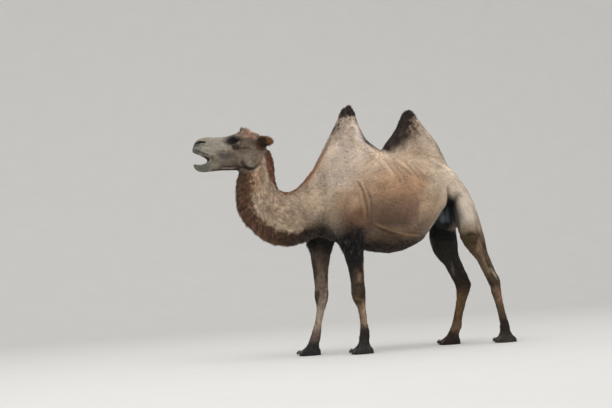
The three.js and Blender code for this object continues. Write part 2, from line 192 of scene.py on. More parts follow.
def divide(mesh, chosen):
    """Divides the faces of the mesh whose middles the function chosen picks."""
    bm = bmesh.new()
    bm.from_mesh(mesh)
    middles = np.array([face.calc_center_median() for face in bm.faces])
    picked = chosen(middles)
    edges = {edge for face, pick in zip(bm.faces, picked) if pick for edge in face.edges}
    bmesh.ops.subdivide_edges(bm, edges=list(edges), cuts=1, use_grid_fill=True, smooth=0)
    bm.to_mesh(mesh)
    bm.free()
    mesh.update()


def near(M, places, radius):
    """Which of the points M lie within a radius of any of the places."""
    return np.min([np.linalg.norm(M - place, axis=1) for place in places], axis=0) < radius


divide(skin_mesh, lambda M: (M[:, 0] < -0.73) & (M[:, 2] > 1.57))
divide(skin_mesh, lambda M: near(M, EYE_CENTRES.values(), 0.05) | near(M, [*NOSTRILS, *MOUTH_CORNERS], 0.04))

# ---------------------------------------------------------------- the skin's own forms
# Muscles, folds and wrinkles that the plain solids leave out, pushed in or out along the skin. Lines and
# places are (x, z) in side view, and lie on both sides of the camel unless a side is given: -1 left, 1 right.


def to_line(P, line):
    """Distance in side view to a line, the share of its length there, and its direction there."""
    xz = P[:, [0, 2]]
    line = np.array(line, float)
    spans = np.linalg.norm(np.diff(line, axis=0), axis=1)
    best, share, way = np.full(len(P), np.inf), np.zeros(len(P)), np.zeros((len(P), 2))
    for i, (a, b) in enumerate(zip(line[:-1], line[1:])):
        t = np.clip((xz - a) @ (b - a) / spans[i] ** 2, 0, 1)
        gap = np.linalg.norm(xz - a - t[:, None] * (b - a), axis=1)
        closer = gap < best
        best[closer] = gap[closer]
        share[closer] = ((spans[:i].sum() + t * spans[i]) / spans.sum())[closer]
        way[closer] = (b - a) / spans[i]
    return best, share, way


def on_side(P, N, side):
    """1 on the flank that faces sideways, on one side or both, 0 round the midline."""
    facing = step(np.abs(N[:, 1]), 0.15, 0.5)
    return facing * (P[:, 1] * side > 0) if side else facing


def crease(P, N, line, width, depth, side=0):
    """A groove along a line, with a low roll to each side of it."""
    gap, share, _ = to_line(P, line)
    profile = np.exp(-((gap / width) ** 2)) - 0.45 * np.exp(-(((gap - 2.1 * width) / (1.2 * width)) ** 2))
    fade = step(share, 0, 0.2) * step(share, 1, 0.8)
    return depth * profile * fade * on_side(P, N, side)


def roll(P, N, line, width, height, side=0):
    """A rounded ridge along a line."""
    gap, share, _ = to_line(P, line)
    fade = step(share, 0, 0.25) * step(share, 1, 0.75)
    return height * np.exp(-((gap / width) ** 2)) * fade * on_side(P, N, side)


def spot(P, centre, radii, turn=0.0):
    """How far out of an oval a place is in side view, 1 on its edge. turn lifts its -X end, in degrees."""
    dx, dz = P[:, 0] - centre[0], P[:, 2] - centre[1]
    c, s = math.cos(math.radians(turn)), math.sin(math.radians(turn))
    return np.hypot((dx * c - dz * s) / radii[0], (dx * s + dz * c) / radii[1])


def blob(P, centre, radii, turn=0.0):
    """A soft spot in side view, 1 in its middle."""
    return np.exp(-1.4 * spot(P, centre, radii, turn) ** 2)


def swell(P, N, centre, radii, height, turn=0.0, side=0):
    """A rounded swelling, or a hollow where the height is below 0."""
    return height * blob(P, centre, radii, turn) * on_side(P, N, side)


SHOULDER_FOLD = [(-0.045, 1.49), (-0.016, 1.434), (0.007, 1.346), (0.022, 1.26), (0.031, 1.15), (0.034, 1.08)]
SHOULDER_RIDGE = [(-0.068, 1.48), (-0.040, 1.435), (-0.017, 1.347), (-0.002, 1.261), (0.008, 1.17)]
SHOULDER_LINES = [
    [(-0.010, 1.50), (0.016, 1.455), (0.044, 1.372), (0.074, 1.285)],
    [(0.022, 1.48), (0.050, 1.41), (0.076, 1.34)],
    [(-0.045, 1.33), (-0.030, 1.26), (-0.020, 1.18)],
]
BELLY_FOLD = [(0.056, 1.090), (0.134, 1.040), (0.247, 0.998), (0.366, 0.964), (0.511, 0.950)]
BELLY_BRANCH = [(0.25, 1.012), (0.390, 0.989), (0.511, 0.979), (0.585, 0.990)]
JAW_LINE = [(-1.14, 1.630), (-1.09, 1.628), (-1.03, 1.628)]
# A nostril is a long slit, closed to a comma, with a rolled rim.
NOSTRIL_SLIT = [(-1.372, 1.821), (-1.353, 1.833), (-1.326, 1.840), (-1.286, 1.841)]
# Wrinkles of the flank: depth and line.
FLANK_WRINKLES = [
    (0.0026, [(0.19, 1.64), (0.235, 1.56), (0.27, 1.47)]),
    (0.0044, [(0.235, 1.63), (0.285, 1.54), (0.325, 1.44), (0.335, 1.38)]),
    (0.0034, [(0.30, 1.655), (0.35, 1.57), (0.385, 1.49), (0.40, 1.41)]),
    (0.0046, [(0.335, 1.62), (0.40, 1.53), (0.435, 1.44)]),
    (0.0040, [(0.40, 1.63), (0.455, 1.54), (0.49, 1.46), (0.505, 1.39)]),
    (0.0030, [(0.46, 1.61), (0.515, 1.53), (0.545, 1.46)]),
]
RIBS = [[(0.16 + 0.085 * i, 1.40), (0.19 + 0.09 * i, 1.26), (0.20 + 0.09 * i, 1.12)] for i in range(5)]

# Each groove: its line, half width and depth, and its side where it is on one only.
GROOVES = [(SHOULDER_FOLD, 0.0095, 0.012)]
GROOVES += [(line, 0.008, 0.005) for line in SHOULDER_LINES]
GROOVES += [(BELLY_FOLD, 0.010, 0.010), (BELLY_BRANCH, 0.008, 0.006)]
GROOVES += [(line, 0.013, depth) for depth, line in FLANK_WRINKLES]
GROOVES += [(line, 0.030, 0.0010) for line in RIBS]
# The left hind leg stands back and the right one forward, so their folds lie in different places.
GROOVES += [
    ([(0.895, 0.975), (0.95, 0.955), (1.03, 0.955), (1.06, 0.975)], 0.010, 0.011, -1),
    ([(0.93, 0.945), (0.99, 0.925), (1.04, 0.93)], 0.008, 0.007, -1),
    ([(1.02, 1.15), (1.05, 1.0), (1.08, 0.90), (1.12, 0.80)], 0.012, 0.007, -1),
    ([(1.12, 0.74), (1.17, 0.62), (1.205, 0.55)], 0.010, 0.006, -1),
    ([(0.80, 0.95), (0.86, 0.93), (0.95, 0.94)], 0.010, 0.010, 1),
    ([(0.775, 1.40), (0.790, 1.32), (0.815, 1.24), (0.835, 1.14), (0.85, 1.04)], 0.022, 0.030, -1),
    ([(0.93, 0.80), (1.0, 0.66), (1.045, 0.56)], 0.010, 0.006, 1),
]
KNEES = {-1: -0.058, 1: -0.277}  # the x of each knee, by side
for side, knee in KNEES.items():
    GROOVES += [
        ([(knee - 0.07, 0.582), (knee, 0.566), (knee + 0.06, 0.579)], 0.009, 0.004, side),
        ([(knee + 0.005, 0.43), (knee + 0.02, 0.33), (knee + 0.02, 0.22)], 0.006, 0.004, side),
    ]
CHEEK = (-0.914, 1.674)
CHEEK_TURNS = np.radians(range(160, 351, 19))
CHEEK_EDGE = [(CHEEK[0] + 0.074 * math.cos(turn), CHEEK[1] + 0.078 * math.sin(turn)) for turn in CHEEK_TURNS]
# Head: round and below the chewing muscle, along the jaw, under the eye, and at the mouth, lips and nostrils.
GROOVES += [
    (CHEEK_EDGE, 0.011, 0.008),
    (JAW_LINE, 0.0045, 0.003),
    ([(-0.990, 1.765), (-0.945, 1.775), (-0.90, 1.770)], 0.008, 0.005),
    ([(-1.085, 1.80), (-1.045, 1.79), (-0.995, 1.80), (-0.975, 1.82)], 0.006, 0.005),
    ([(-1.25, 1.73), (-1.225, 1.705), (-1.232, 1.675), (-1.25, 1.655)], 0.0045, 0.006),
    ([(-1.235, 1.74), (-1.207, 1.71), (-1.21, 1.675), (-1.225, 1.645)], 0.004, 0.004),
    ([(-1.355, 1.815), (-1.33, 1.80), (-1.28, 1.80), (-1.25, 1.815)], 0.006, 0.003),
    (NOSTRIL_SLIT, 0.0048, 0.012),
]


def grooves(P, N):
    """How far in the grooves push the skin, less where their edges roll up."""
    return sum(crease(P, N, *groove) for groove in GROOVES)


# Swellings, and hollows below 0, on both sides: middle, half sizes, height and turn.
SWELLS = [
    ((-0.13, 1.20), (0.12, 0.17), 0.014),
    ((-0.05, 1.07), (0.08, 0.07), 0.010),
    ((-0.30, 1.22), (0.05, 0.20), -0.008),
    ((0.06, 1.12), (0.05, 0.12), -0.012),
    ((0.73, 1.46), (0.07, 0.13), -0.007, 15),
    ((0.87, 1.50), (0.06, 0.07), 0.010),
    (CHEEK, (0.062, 0.064), 0.012),
    ((-1.13, 1.735), (0.09, 0.040), -0.009, 8),
    ((-0.960, 1.835), (0.035, 0.022), -0.009),
]
SWELLS += [((knee - 0.035, 0.515), (0.04, 0.045), 0.007, 0, side) for side, knee in KNEES.items()]

# Rolls, and long hollows below 0: line, half width and height.
ROLLS = [
    ([(x, z + 0.018) for x, z in BELLY_FOLD], 0.014, 0.005),
    (SHOULDER_RIDGE, 0.014, 0.007),
    ([(-0.275, 1.62), (-0.285, 1.47), (-0.300, 1.32), (-0.325, 1.18)], 0.035, -0.006),
    ([(-1.10, 1.800), (-1.03, 1.785), (-0.96, 1.795), (-0.89, 1.800)], 0.014, 0.006),
    ([(-1.17, 1.612), (-1.10, 1.609), (-1.02, 1.612)], 0.008, 0.004),
    ([(-1.12, 1.872), (-1.06, 1.890), (-1.00, 1.880), (-0.96, 1.855)], 0.012, 0.008),
    ([(-1.365, 1.852), (-1.33, 1.862), (-1.28, 1.858)], 0.009, 0.004),
]

# Knobs and hollows of the joints: place, radius and height. Pasterns are drawn in above the broad pads.
JOINTS = [
    # left foreleg
    ((-0.10, -0.22, 0.54), 0.040, 0.006),
    ((-0.02, -0.21, 0.53), 0.030, 0.005),
    ((-0.05, -0.21, 0.29), 0.045, -0.004),
    ((-0.03, -0.21, 0.19), 0.035, 0.007),
    ((-0.08, -0.22, 0.19), 0.030, 0.006),
    ((-0.12, -0.22, 0.105), 0.035, -0.012),
    ((0.02, -0.22, 0.10), 0.030, -0.008),
    # right foreleg
    ((-0.31, 0.14, 0.53), 0.040, 0.006),
    ((-0.24, 0.13, 0.52), 0.030, 0.004),
    ((-0.33, 0.15, 0.31), 0.045, -0.003),
    ((-0.33, 0.15, 0.20), 0.035, 0.006),
    ((-0.39, 0.15, 0.19), 0.030, 0.005),
    ((-0.44, 0.14, 0.105), 0.035, -0.010),
    ((-0.31, 0.14, 0.10), 0.030, -0.008),
    # left hind leg
    ((1.23, -0.19, 0.58), 0.030, 0.007),
    ((1.15, -0.19, 0.53), 0.030, 0.005),
    ((1.22, -0.19, 0.36), 0.060, -0.004),
    ((1.25, -0.20, 0.18), 0.035, 0.006),
    ((1.30, -0.20, 0.17), 0.030, 0.006),
    ((1.21, -0.20, 0.09), 0.030, -0.010),
    # right hind leg
    ((1.09, 0.12, 0.55), 0.030, 0.007),
    ((1.00, 0.12, 0.50), 0.035, 0.004),
    ((0.98, 0.12, 0.34), 0.060, -0.003),
    ((0.99, 0.12, 0.17), 0.035, 0.006),
    ((0.91, 0.12, 0.17), 0.030, 0.005),
    ((0.87, 0.11, 0.09), 0.030, -0.010),
]

P, N = points_of(skin_mesh)
relief = sum(swell(P, N, *form) for form in SWELLS) + sum(roll(P, N, *form) for form in ROLLS) - grooves(P, N)
for place, radius, height in JOINTS:
    relief += height * np.exp(-((np.linalg.norm(P - place, axis=1) / radius) ** 2))
# The left shin is drawn in, the crown lies lower, and the right thigh's front is fuller.
shin, _, _ = to_line(P, [(0.99, 0.84), (1.05, 0.72), (1.10, 0.60), (1.15, 0.50)])
relief -= 0.018 * np.exp(-((shin / 0.06) ** 2)) * step(N[:, 0], -0.1, -0.6) * (P[:, 1] < 0) * (P[:, 2] < 0.95)
relief -= 0.012 * blob(P, (-0.990, 1.945), (0.035, 0.025))
relief += 0.012 * blob(P, (0.80, 0.96), (0.06, 0.09)) * (P[:, 1] > 0)
set_points(skin_mesh, P + N * relief[:, None])

# The cleft of the upper lip. Each foot has a slim pastern, and a cleft between its toes.
LIP_CLEFT = 0.007
TOE_CLEFT = 0.016
P, N = points_of(skin_mesh)
split = step(P[:, 0], -1.33, -1.36) * step(P[:, 2], 1.74, 1.77) * step(P[:, 2], 1.845, 1.80)
split *= np.exp(-((P[:, 1] / 0.005) ** 2))
cleft = np.zeros(len(P))
for middle in (middle_of(name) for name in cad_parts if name.endswith("_foot")):
    away = P - middle
    beside = (np.abs(away[:, 0]) < 0.16) & (np.abs(away[:, 1]) < 0.13)
    pastern = step(P[:, 2], 0.034, 0.066) * step(P[:, 2], 0.150, 0.085) * beside
    P[:, 0] += pastern * (0.020 * step(away[:, 0], 0.01, -0.06) - 0.012 * step(away[:, 0], 0.0, 0.06))
    P[:, 1] -= pastern * 0.14 * away[:, 1]
    away = P - middle
    toes = step(away[:, 0], -0.02, -0.09) * (np.abs(away[:, 0]) < 0.14)
    toes *= step(P[:, 2], 0.12, 0.08) * (P[:, 2] > 0.002)
    cleft += toes * np.exp(-((away[:, 1] / 0.009) ** 2))
set_points(skin_mesh, P - N * (LIP_CLEFT * split + TOE_CLEFT * np.clip(cleft, 0, 1))[:, None])

# ---------------------------------------------------------------- room for the coat
# The solids reach to the tips of the hair, so the skin lies inside them by the coat's depth: a few
# millimetres under short flat hair, and most under the throat fringe, the mane, the forelock and the caps.

THROAT = [(-1.03, 1.595), (-1.024, 1.50), (-1.036, 1.385), (-1.03, 1.28), (-0.985, 1.165), (-0.888, 1.046)]
THROAT += [(-0.748, 0.968), (-0.602, 0.941), (-0.47, 0.962), (-0.40, 1.0)]
NAPE = [(-0.75, 1.80), (-0.716, 1.772), (-0.686, 1.706), (-0.68, 1.615), (-0.682, 1.522), (-0.662, 1.44)]
NAPE_LOW = [NAPE[-1], (-0.618, 1.405), (-0.56, 1.411), (-0.498, 1.442), (-0.43, 1.50), (-0.352, 1.588)]
FRONT_RISE = [NAPE_LOW[-1], (-0.29, 1.692), (-0.214, 1.818), (-0.162, 1.905), (-0.112, 1.99), (-0.076, 2.062)]
FRONT_TIP = [FRONT_RISE[-1], (-0.038, 2.108), (0.01, 2.13), (0.054, 2.11), (0.074, 2.066)]
FRONT_FALL = [FRONT_TIP[-1], (0.092, 1.99), (0.124, 1.905), (0.168, 1.826), (0.25, 1.765), (0.33, 1.735)]
REAR_RISE = [FRONT_FALL[-1], (0.322, 1.788), (0.396, 1.868), (0.45, 1.938), (0.492, 2.022), (0.524, 2.066)]
REAR_TIP = [REAR_RISE[-1], (0.56, 2.088), (0.602, 2.08), (0.64, 2.036)]
REAR_FALL = [REAR_TIP[-1], (0.688, 1.964), (0.75, 1.888), (0.82, 1.796), (0.872, 1.68)]
REAR_FALL += [(0.942, 1.5), (1.04, 1.39)]
CREST = NAPE_LOW + FRONT_RISE[1:] + FRONT_TIP[1:] + FRONT_FALL[1:]
CREST += REAR_RISE[1:] + REAR_TIP[1:] + REAR_FALL[1:6]


def head_share(P):
    """1 on the head and 0 on the neck, parted along the edge of the jaw."""
    edge = np.interp(P[:, 0], [-1.07, -0.90, -0.826, -0.786, -0.738], [1.585, 1.588, 1.65, 1.74, 1.80])
    return step(P[:, 2] - edge, -0.012, 0.012) * step(P[:, 0], -0.70, -0.74)


def coat_depth(P):
    """How deep the coat is: 7 mm on the body, 4 on the legs, 2.5 on the head, and more under long hair."""
    x, y, z = P.T
    leg = step(z, 0.95, 0.75)
    depth = 0.007 * (1 - leg) + 0.004 * leg
    head = head_share(P)
    body = 1 - head
    depth = depth * body + 0.0025 * head
    for line, deep, amount in (
        (THROAT, 0.10, 0.024),
        (NAPE, 0.06, 0.018),
        (CREST, 0.06, 0.009),
        (FRONT_TIP, 0.14, 0.018),
        (REAR_TIP, 0.14, 0.018),
    ):
        gap, _, _ = to_line(P, line)
        depth = np.maximum(depth, amount * step(gap, deep, 0.1 * deep) * body)
    depth += 0.012 * blob(P, (-0.93, 1.07), (0.12, 0.10)) * body
    depth = np.maximum(depth, 0.012 * blob(P, (-0.93, 1.93), (0.12, 0.03)))
    tail = step(x, 1.04, 1.08) * (np.abs(y) < 0.045) * step(z, 1.0, 0.9)
    return np.maximum(depth, 0.010 * tail)


P, N = points_of(skin_mesh)
depth = averaged(coat_depth(P), edges_of(skin_mesh), 8)
sole = step(P[:, 2], 0.012, 0.004)
set_points(skin_mesh, P - N * (depth * (1 - sole))[:, None])

# ---------------------------------------------------------------- lids
# The eye looks out through an almond between two lids that hug the ball. Inside the almond the skin is
# drawn back behind the ball.

EYE_RADIUS = 0.020
LID = 0.0026
OPENING = (0.0205, 0.0056)  # half its length and half its height
TILT = math.radians(9)


def almond(away):
    """How far out of the almond a place is, 1 on its edge, and where it is along and across the almond."""
    along = away[:, 0] * math.cos(TILT) - away[:, 2] * math.sin(TILT)
    across = away[:, 0] * math.sin(TILT) + away[:, 2] * math.cos(TILT) - 0.0005
    reach = np.abs(along / OPENING[0])
    high = OPENING[1] * np.clip(1 - reach**2, 0.02, 1) ** 0.8
    return np.maximum(np.abs(across) / high, reach), along, across


P, _ = points_of(skin_mesh)
for name, side in (("left", -1), ("right", 1)):
    away = P - EYE_CENTRES[name]
    gap = np.linalg.norm(away, axis=1)
    out, along, across = almond(away)
    spread = np.hypot(along / 1.35, across)
    lidded = step(spread, 0.034, 0.021)
    fold = 0.0022 * np.exp(-(((spread - 0.0235) / 0.0028) ** 2))
    wanted = gap * (1 - lidded) + (EYE_RADIUS + LID) * lidded - fold
    wanted[out < 1] = EYE_RADIUS - 0.006
    moved = EYE_CENTRES[name] + away * (wanted / np.maximum(gap, 1e-6))[:, None]
    close = (gap < 0.052) & (away[:, 1] * side > -0.002)
    P = np.where(close[:, None], moved, P)
set_points(skin_mesh, P)

# ---------------------------------------------------------------- the skin
# One skin covers the whole camel, with no seam between head, trunk and limbs. It is thin-haired hide with
# the coat's own markings, so where the hair parts it shows the same colours.


def flatten(mesh):
    """Smooth shading, and an unwrap of the mesh's own shape that the coat's tufts share."""
    holder = placed("holder", mesh)
    bpy.context.view_layer.objects.active = holder
    holder.select_set(True)
    mesh.uv_layers.new(name="OFBake")
    bpy.ops.object.mode_set(mode="EDIT")
    bpy.ops.mesh.select_all(action="SELECT")
    bpy.ops.uv.smart_project(angle_limit=math.radians(66), island_margin=0.0015)
    bpy.ops.object.mode_set(mode="OBJECT")
    bpy.data.objects.remove(holder)
    shade_smooth(mesh)


# The faces are thinned out, but for those round the eyes, nostrils and lips.
P, _ = points_of(skin_mesh)
fine = near(P, EYE_CENTRES.values(), 0.045) | near(P, [*NOSTRILS, *MOUTH_CORNERS], 0.03)
fine |= (P[:, 0] < -1.2) & (P[:, 2] > 1.57)
skin_mesh = modified(skin_mesh, "DECIMATE", {0.01: np.where(fine)[0], 1.0: np.where(~fine)[0]}, ratio=0.30)
flatten(skin_mesh)


def linear(colour):
    """sRGB hex to linear RGB."""
    parts = [int(colour[i : i + 2], 16) / 255 for i in (1, 3, 5)]
    return np.array([c / 12.92 if c < 0.04045 else ((c + 0.055) / 1.055) ** 2.4 for c in parts])


def scrambled(cell, seed):
    """A random value from 0 to 1 for each cell of a grid."""
    key = cell @ np.array([73856093, 19349663, 83492791]) + seed * 6700417
    key = (key ^ (key >> 13)) * 1274126177 & 0xFFFFFFFF
    return ((key ^ (key >> 16)) & 0xFFFF) / 65535


def mottle(P, size, seed=0):
    """Smooth random values from -1 to 1, in patches of a size in metres."""
    q = P / size
    cell = np.floor(q).astype(np.int64)
    t = q - cell
    t = t * t * (3 - 2 * t)
    total = np.zeros(len(P))
    for bits in np.ndindex(2, 2, 2):
        total += scrambled(cell + bits, seed) * np.prod(np.where(bits, t, 1 - t), axis=1)
    return total * 2 - 1


def locks_of(P, size):
    """The lock of hair that each place belongs to: its middle, and three random values from 0 to 1."""
    q = P / size
    base = np.floor(q).astype(np.int64)
    closest, middle, draw = np.full(len(P), np.inf), np.zeros((len(P), 3)), np.zeros((len(P), 3))
    for shift in np.ndindex(3, 3, 3):
        cell = base + shift - 1
        values = np.column_stack([scrambled(cell, seed) for seed in (11, 12, 13)])
        gap = np.linalg.norm(cell + values - q, axis=1)
        nearer = gap < closest
        closest[nearer] = gap[nearer]
        middle[nearer] = (cell + values)[nearer] * size
        draw[nearer] = values[nearer]
    return middle, draw


# Soft patches of the body's markings, some partly painted shade: middle (x, z), half sizes, turn in degrees,
# colour and strength.
BODY_PATCHES = [
    # flanks and belly; the low ones are partly painted shade, darker where the body curves under
    ((0.30, 1.40), (0.34, 0.17), -6, "#906e50", 0.9),
    ((0.24, 1.16), (0.42, 0.15), -3, "#5d4435", 0.92),
    ((0.14, 1.07), (0.18, 0.07), 0, "#48372b", 0.85),
    ((0.30, 1.00), (0.24, 0.05), -8, "#453327", 0.75),
    ((0.60, 1.21), (0.12, 0.09), 0, "#a98f74", 0.85),
    ((0.65, 1.42), (0.10, 0.13), 0, "#bca890", 0.85),
    ((0.32, 1.57), (0.20, 0.08), 0, "#a0876f", 0.7),
    ((0.12, 1.37), (0.07, 0.05), 0, "#8c7258", 0.4),
    ((0.09, 1.22), (0.04, 0.10), 0, "#6b543f", 0.6),
    # shoulder and chest
    ((-0.17, 1.50), (0.12, 0.08), 0, "#b5a496", 0.8),
    ((-0.15, 1.31), (0.13, 0.09), 0, "#8e745d", 0.75),
    ((-0.12, 1.165), (0.13, 0.085), 0, "#573d2b", 0.9),
    ((-0.09, 1.085), (0.10, 0.045), 0, "#52392a", 0.85),
    ((-0.375, 1.13), (0.075, 0.065), 0, "#4a3c2f", 0.75),
    ((-0.31, 1.20), (0.06, 0.11), 0, "#6f6350", 0.6),
    ((-0.33, 1.070), (0.12, 0.048), 0, "#2f2e22", 0.95),
    ((-0.285, 1.59), (0.050, 0.14), 0, "#93857a", 0.40),
    ((-0.30, 1.42), (0.035, 0.14), 0, "#8b7e6a", 0.4),
    ((-0.11, 1.245), (0.12, 0.07), 0, "#7d624a", 0.5),
    # humps and back
    ((-0.06, 1.86), (0.10, 0.15), 0, "#a19080", 0.9),
    ((-0.11, 1.90), (0.03, 0.10), 20, "#83756b", 0.45),
    ((-0.10, 1.70), (0.12, 0.08), 0, "#c2b1a2", 0.85),
    ((0.16, 1.68), (0.12, 0.07), 0, "#cdb69c", 0.85),
    ((0.55, 1.83), (0.07, 0.09), 0, "#967e6a", 0.85),
    ((0.68, 1.78), (0.06, 0.10), -35, "#c0af9d", 0.85),
    ((0.56, 1.68), (0.15, 0.05), 0, "#bda387", 0.8),
    # croup and thighs
    ((0.87, 1.46), (0.10, 0.11), 0, "#e3d2bd", 0.95),
    ((0.95, 1.33), (0.09, 0.10), 0, "#ddccb9", 0.95),
    ((0.97, 1.16), (0.080, 0.11), 0, "#cdc0af", 0.9),
    ((1.02, 1.03), (0.08, 0.05), 0, "#b09b82", 0.8),
    ((0.905, 1.16), (0.020, 0.12), -6, "#7b756b", 0.8),
    # neck
    ((-0.87, 1.34), (0.045, 0.10), 10, "#b59f88", 0.5),
    ((-0.89, 1.48), (0.045, 0.08), 0, "#a38466", 0.7),
    ((-0.44, 1.36), (0.14, 0.14), 0, "#a6917a", 0.85),
    ((-0.78, 1.25), (0.06, 0.06), 0, "#8e755e", 0.4),
    ((-0.84, 1.58), (0.03, 0.08), 0, "#8b6e54", 0.5),
]

# The same for the legs, each with a side: -1 left, 1 right.
LEG_PATCHES = [
    ((0.955, 0.885), (0.050, 0.050), 0, "#43351f", 0.8, -1),
    ((1.06, 0.87), (0.030, 0.08), 20, "#8a7058", 0.7, -1),
    ((0.92, 0.93), (0.035, 0.025), 0, "#3b2e1f", 0.6, -1),
    ((1.258, 0.41), (0.009, 0.024), 0, "#a87a6a", 0.6, -1),
    ((1.33, 0.06), (0.028, 0.028), 0, "#4f3426", 0.6, -1),
    ((-0.09, 0.52), (0.028, 0.030), 0, "#4a3a28", 0.8, -1),
    ((-0.04, 0.50), (0.018, 0.040), 0, "#2b231e", 0.7, -1),
    ((-0.095, 0.445), (0.020, 0.014), 0, "#241c17", 0.7, -1),
    ((0.00, 0.05), (0.035, 0.025), 0, "#564a40", 0.5, -1),
    ((-0.332, 0.49), (0.018, 0.060), 0, "#221c18", 0.8, 1),
]

# Streaks and bands of the markings, and some painted light and shade along folds: line, half width, colour
# and strength, and for some a side.
FRINGE_EDGE = [(-0.88, 1.33), (-0.87, 1.24), (-0.80, 1.16), (-0.70, 1.105), (-0.58, 1.075), (-0.50, 1.10)]
STREAKS = [
    ([(0.026, 2.0), (0.048, 1.894), (0.074, 1.771), (0.06, 1.66)], 0.028, "#e4d3ca", 0.85),
    ([(0.775, 1.33), (0.75, 1.22), (0.70, 1.12), (0.64, 1.05)], 0.028, "#c0b29e", 0.75),
    (SHOULDER_RIDGE, 0.014, "#ae8560", 0.45),
    ([(-0.05, 1.16), (-0.03, 1.12), (-0.012, 1.085)], 0.016, "#8c5f3c", 0.7),
    # Pale lines above the belly's folds are painted highlights on their rolls, and the dark line below the
    # main fold is painted shade.
    ([(x, z + 0.016) for x, z in BELLY_FOLD], 0.009, "#a38466", 0.6),
    ([(x, z - 0.010) for x, z in BELLY_FOLD], 0.008, "#35271b", 0.6),
    ([(x, z + 0.012) for x, z in BELLY_BRANCH], 0.007, "#9b7f62", 0.5),
    (FRINGE_EDGE, 0.022, "#bba88f", 0.6),
    ([(-0.772, 1.80), (-0.792, 1.72), (-0.797, 1.64), (-0.790, 1.55), (-0.775, 1.46)], 0.012, "#b5a28b", 0.8),
    # left foreleg
    ([(-0.028, 0.80), (-0.020, 0.70), (-0.018, 0.60)], 0.012, "#6d4d34", 0.8, -1),
    ([(-0.060, 0.69), (-0.064, 0.65), (-0.068, 0.60)], 0.018, "#8a745c", 0.65, -1),
    ([(-0.150, 0.80), (-0.128, 0.68), (-0.122, 0.58)], 0.015, "#1d1612", 0.8, -1),
    ([(-0.145, 0.612), (-0.08, 0.594), (-0.01, 0.606)], 0.012, "#2a2019", 0.5, -1),
    ([(-0.115, 0.480), (-0.07, 0.455), (-0.03, 0.45)], 0.012, "#85704e", 0.5, -1),
    ([(-0.035, 0.44), (-0.035, 0.34), (-0.032, 0.22)], 0.013, "#a8927d", 0.7, -1),
    ([(-0.080, 0.44), (-0.077, 0.32), (-0.072, 0.22)], 0.009, "#3e3028", 0.8, -1),
    # right foreleg
    ([(-0.345, 0.86), (-0.335, 0.70), (-0.340, 0.58)], 0.018, "#2a211c", 0.85, 1),
    ([(-0.228, 0.86), (-0.238, 0.73), (-0.236, 0.60)], 0.013, "#3a3029", 0.7, 1),
    ([(-0.245, 0.58), (-0.262, 0.49), (-0.30, 0.42), (-0.325, 0.33)], 0.014, "#aa9b8c", 0.75, 1),
    ([(-0.350, 0.46), (-0.350, 0.36), (-0.360, 0.25)], 0.009, "#4a3c33", 0.8, 1),
    # left hind leg
    ([(1.06, 0.83), (1.11, 0.70), (1.16, 0.60)], 0.013, "#8f7b65", 0.55, -1),
    ([(1.00, 0.82), (1.06, 0.68), (1.13, 0.56)], 0.014, "#3a2c20", 0.7, -1),
    ([(1.150, 0.66), (1.20, 0.605), (1.235, 0.55)], 0.012, "#ac9e88", 0.8, -1),
    ([(1.135, 0.58), (1.165, 0.54), (1.20, 0.49)], 0.012, "#1f1712", 0.8, -1),
    ([(1.155, 0.53), (1.19, 0.42), (1.215, 0.32), (1.24, 0.19)], 0.012, "#33281f", 0.8, -1),
    ([(1.230, 0.49), (1.252, 0.40), (1.270, 0.30)], 0.012, "#9a6e56", 0.6, -1),
    # Painted shade in the fold at the left stifle.
    ([(0.905, 0.985), (0.97, 0.955), (1.05, 0.965)], 0.012, "#4a3a29", 0.7, -1),
    # right hind leg
    ([(1.00, 0.46), (0.990, 0.35), (0.975, 0.22)], 0.016, "#6e5030", 0.8, 1),
    ([(0.960, 0.45), (0.955, 0.31), (0.945, 0.20)], 0.010, "#2b2118", 0.7, 1),
    # A painted pale grey highlight on the right hind leg.
    ([(0.942, 0.75), (0.952, 0.67), (0.965, 0.60)], 0.008, "#6b6a68", 0.4, 1),
]

# How the legs change colour downwards, outside and inside: height and colour.
FORELEG = [(1.05, "#121010"), (0.80, "#151211"), (0.70, "#211815"), (0.65, "#46372b"), (0.62, "#504031")]
FORELEG += [(0.585, "#3c2f24"), (0.56, "#332a22"), (0.50, "#453828"), (0.455, "#4a3b2c"), (0.42, "#715b48")]
FORELEG += [(0.38, "#7a624d"), (0.26, "#75614e"), (0.21, "#2d2521"), (0.0, "#2e2c2a")]
FORELEG_INSIDE = [(1.0, "#1f1d1b"), (0.90, "#302b26"), (0.80, "#54473b"), (0.70, "#6a5a4b")]
FORELEG_INSIDE += [(0.62, "#6e5e4f"), (0.53, "#7a6859"), (0.42, "#928272"), (0.30, "#a6967e")]
FORELEG_INSIDE += [(0.24, "#96836d"), (0.19, "#76635a"), (0.10, "#2c2825"), (0.0, "#242423")]
HINDLEG = [(1.05, "#a5917a"), (0.97, "#8d7860"), (0.94, "#4f3f2b"), (0.85, "#48392a"), (0.78, "#5d4b38")]
HINDLEG += [(0.62, "#5a4936"), (0.53, "#463a2b"), (0.45, "#6b5640"), (0.32, "#5c4b36"), (0.22, "#46382a")]
HINDLEG += [(0.16, "#261f1a"), (0.0, "#39332a")]
# The hind legs are dark inside, partly as painted shade between the thighs.
HINDLEG_INSIDE_SHADED = [(1.05, "#171614"), (0.88, "#21201b"), (0.68, "#2d2721"), (0.53, "#2c2017")]
HINDLEG_INSIDE_SHADED += [(0.42, "#5a4630"), (0.24, "#5a452f"), (0.15, "#6b523f"), (0.08, "#2e2319")]
HINDLEG_INSIDE_SHADED += [(0.0, "#1f1811")]

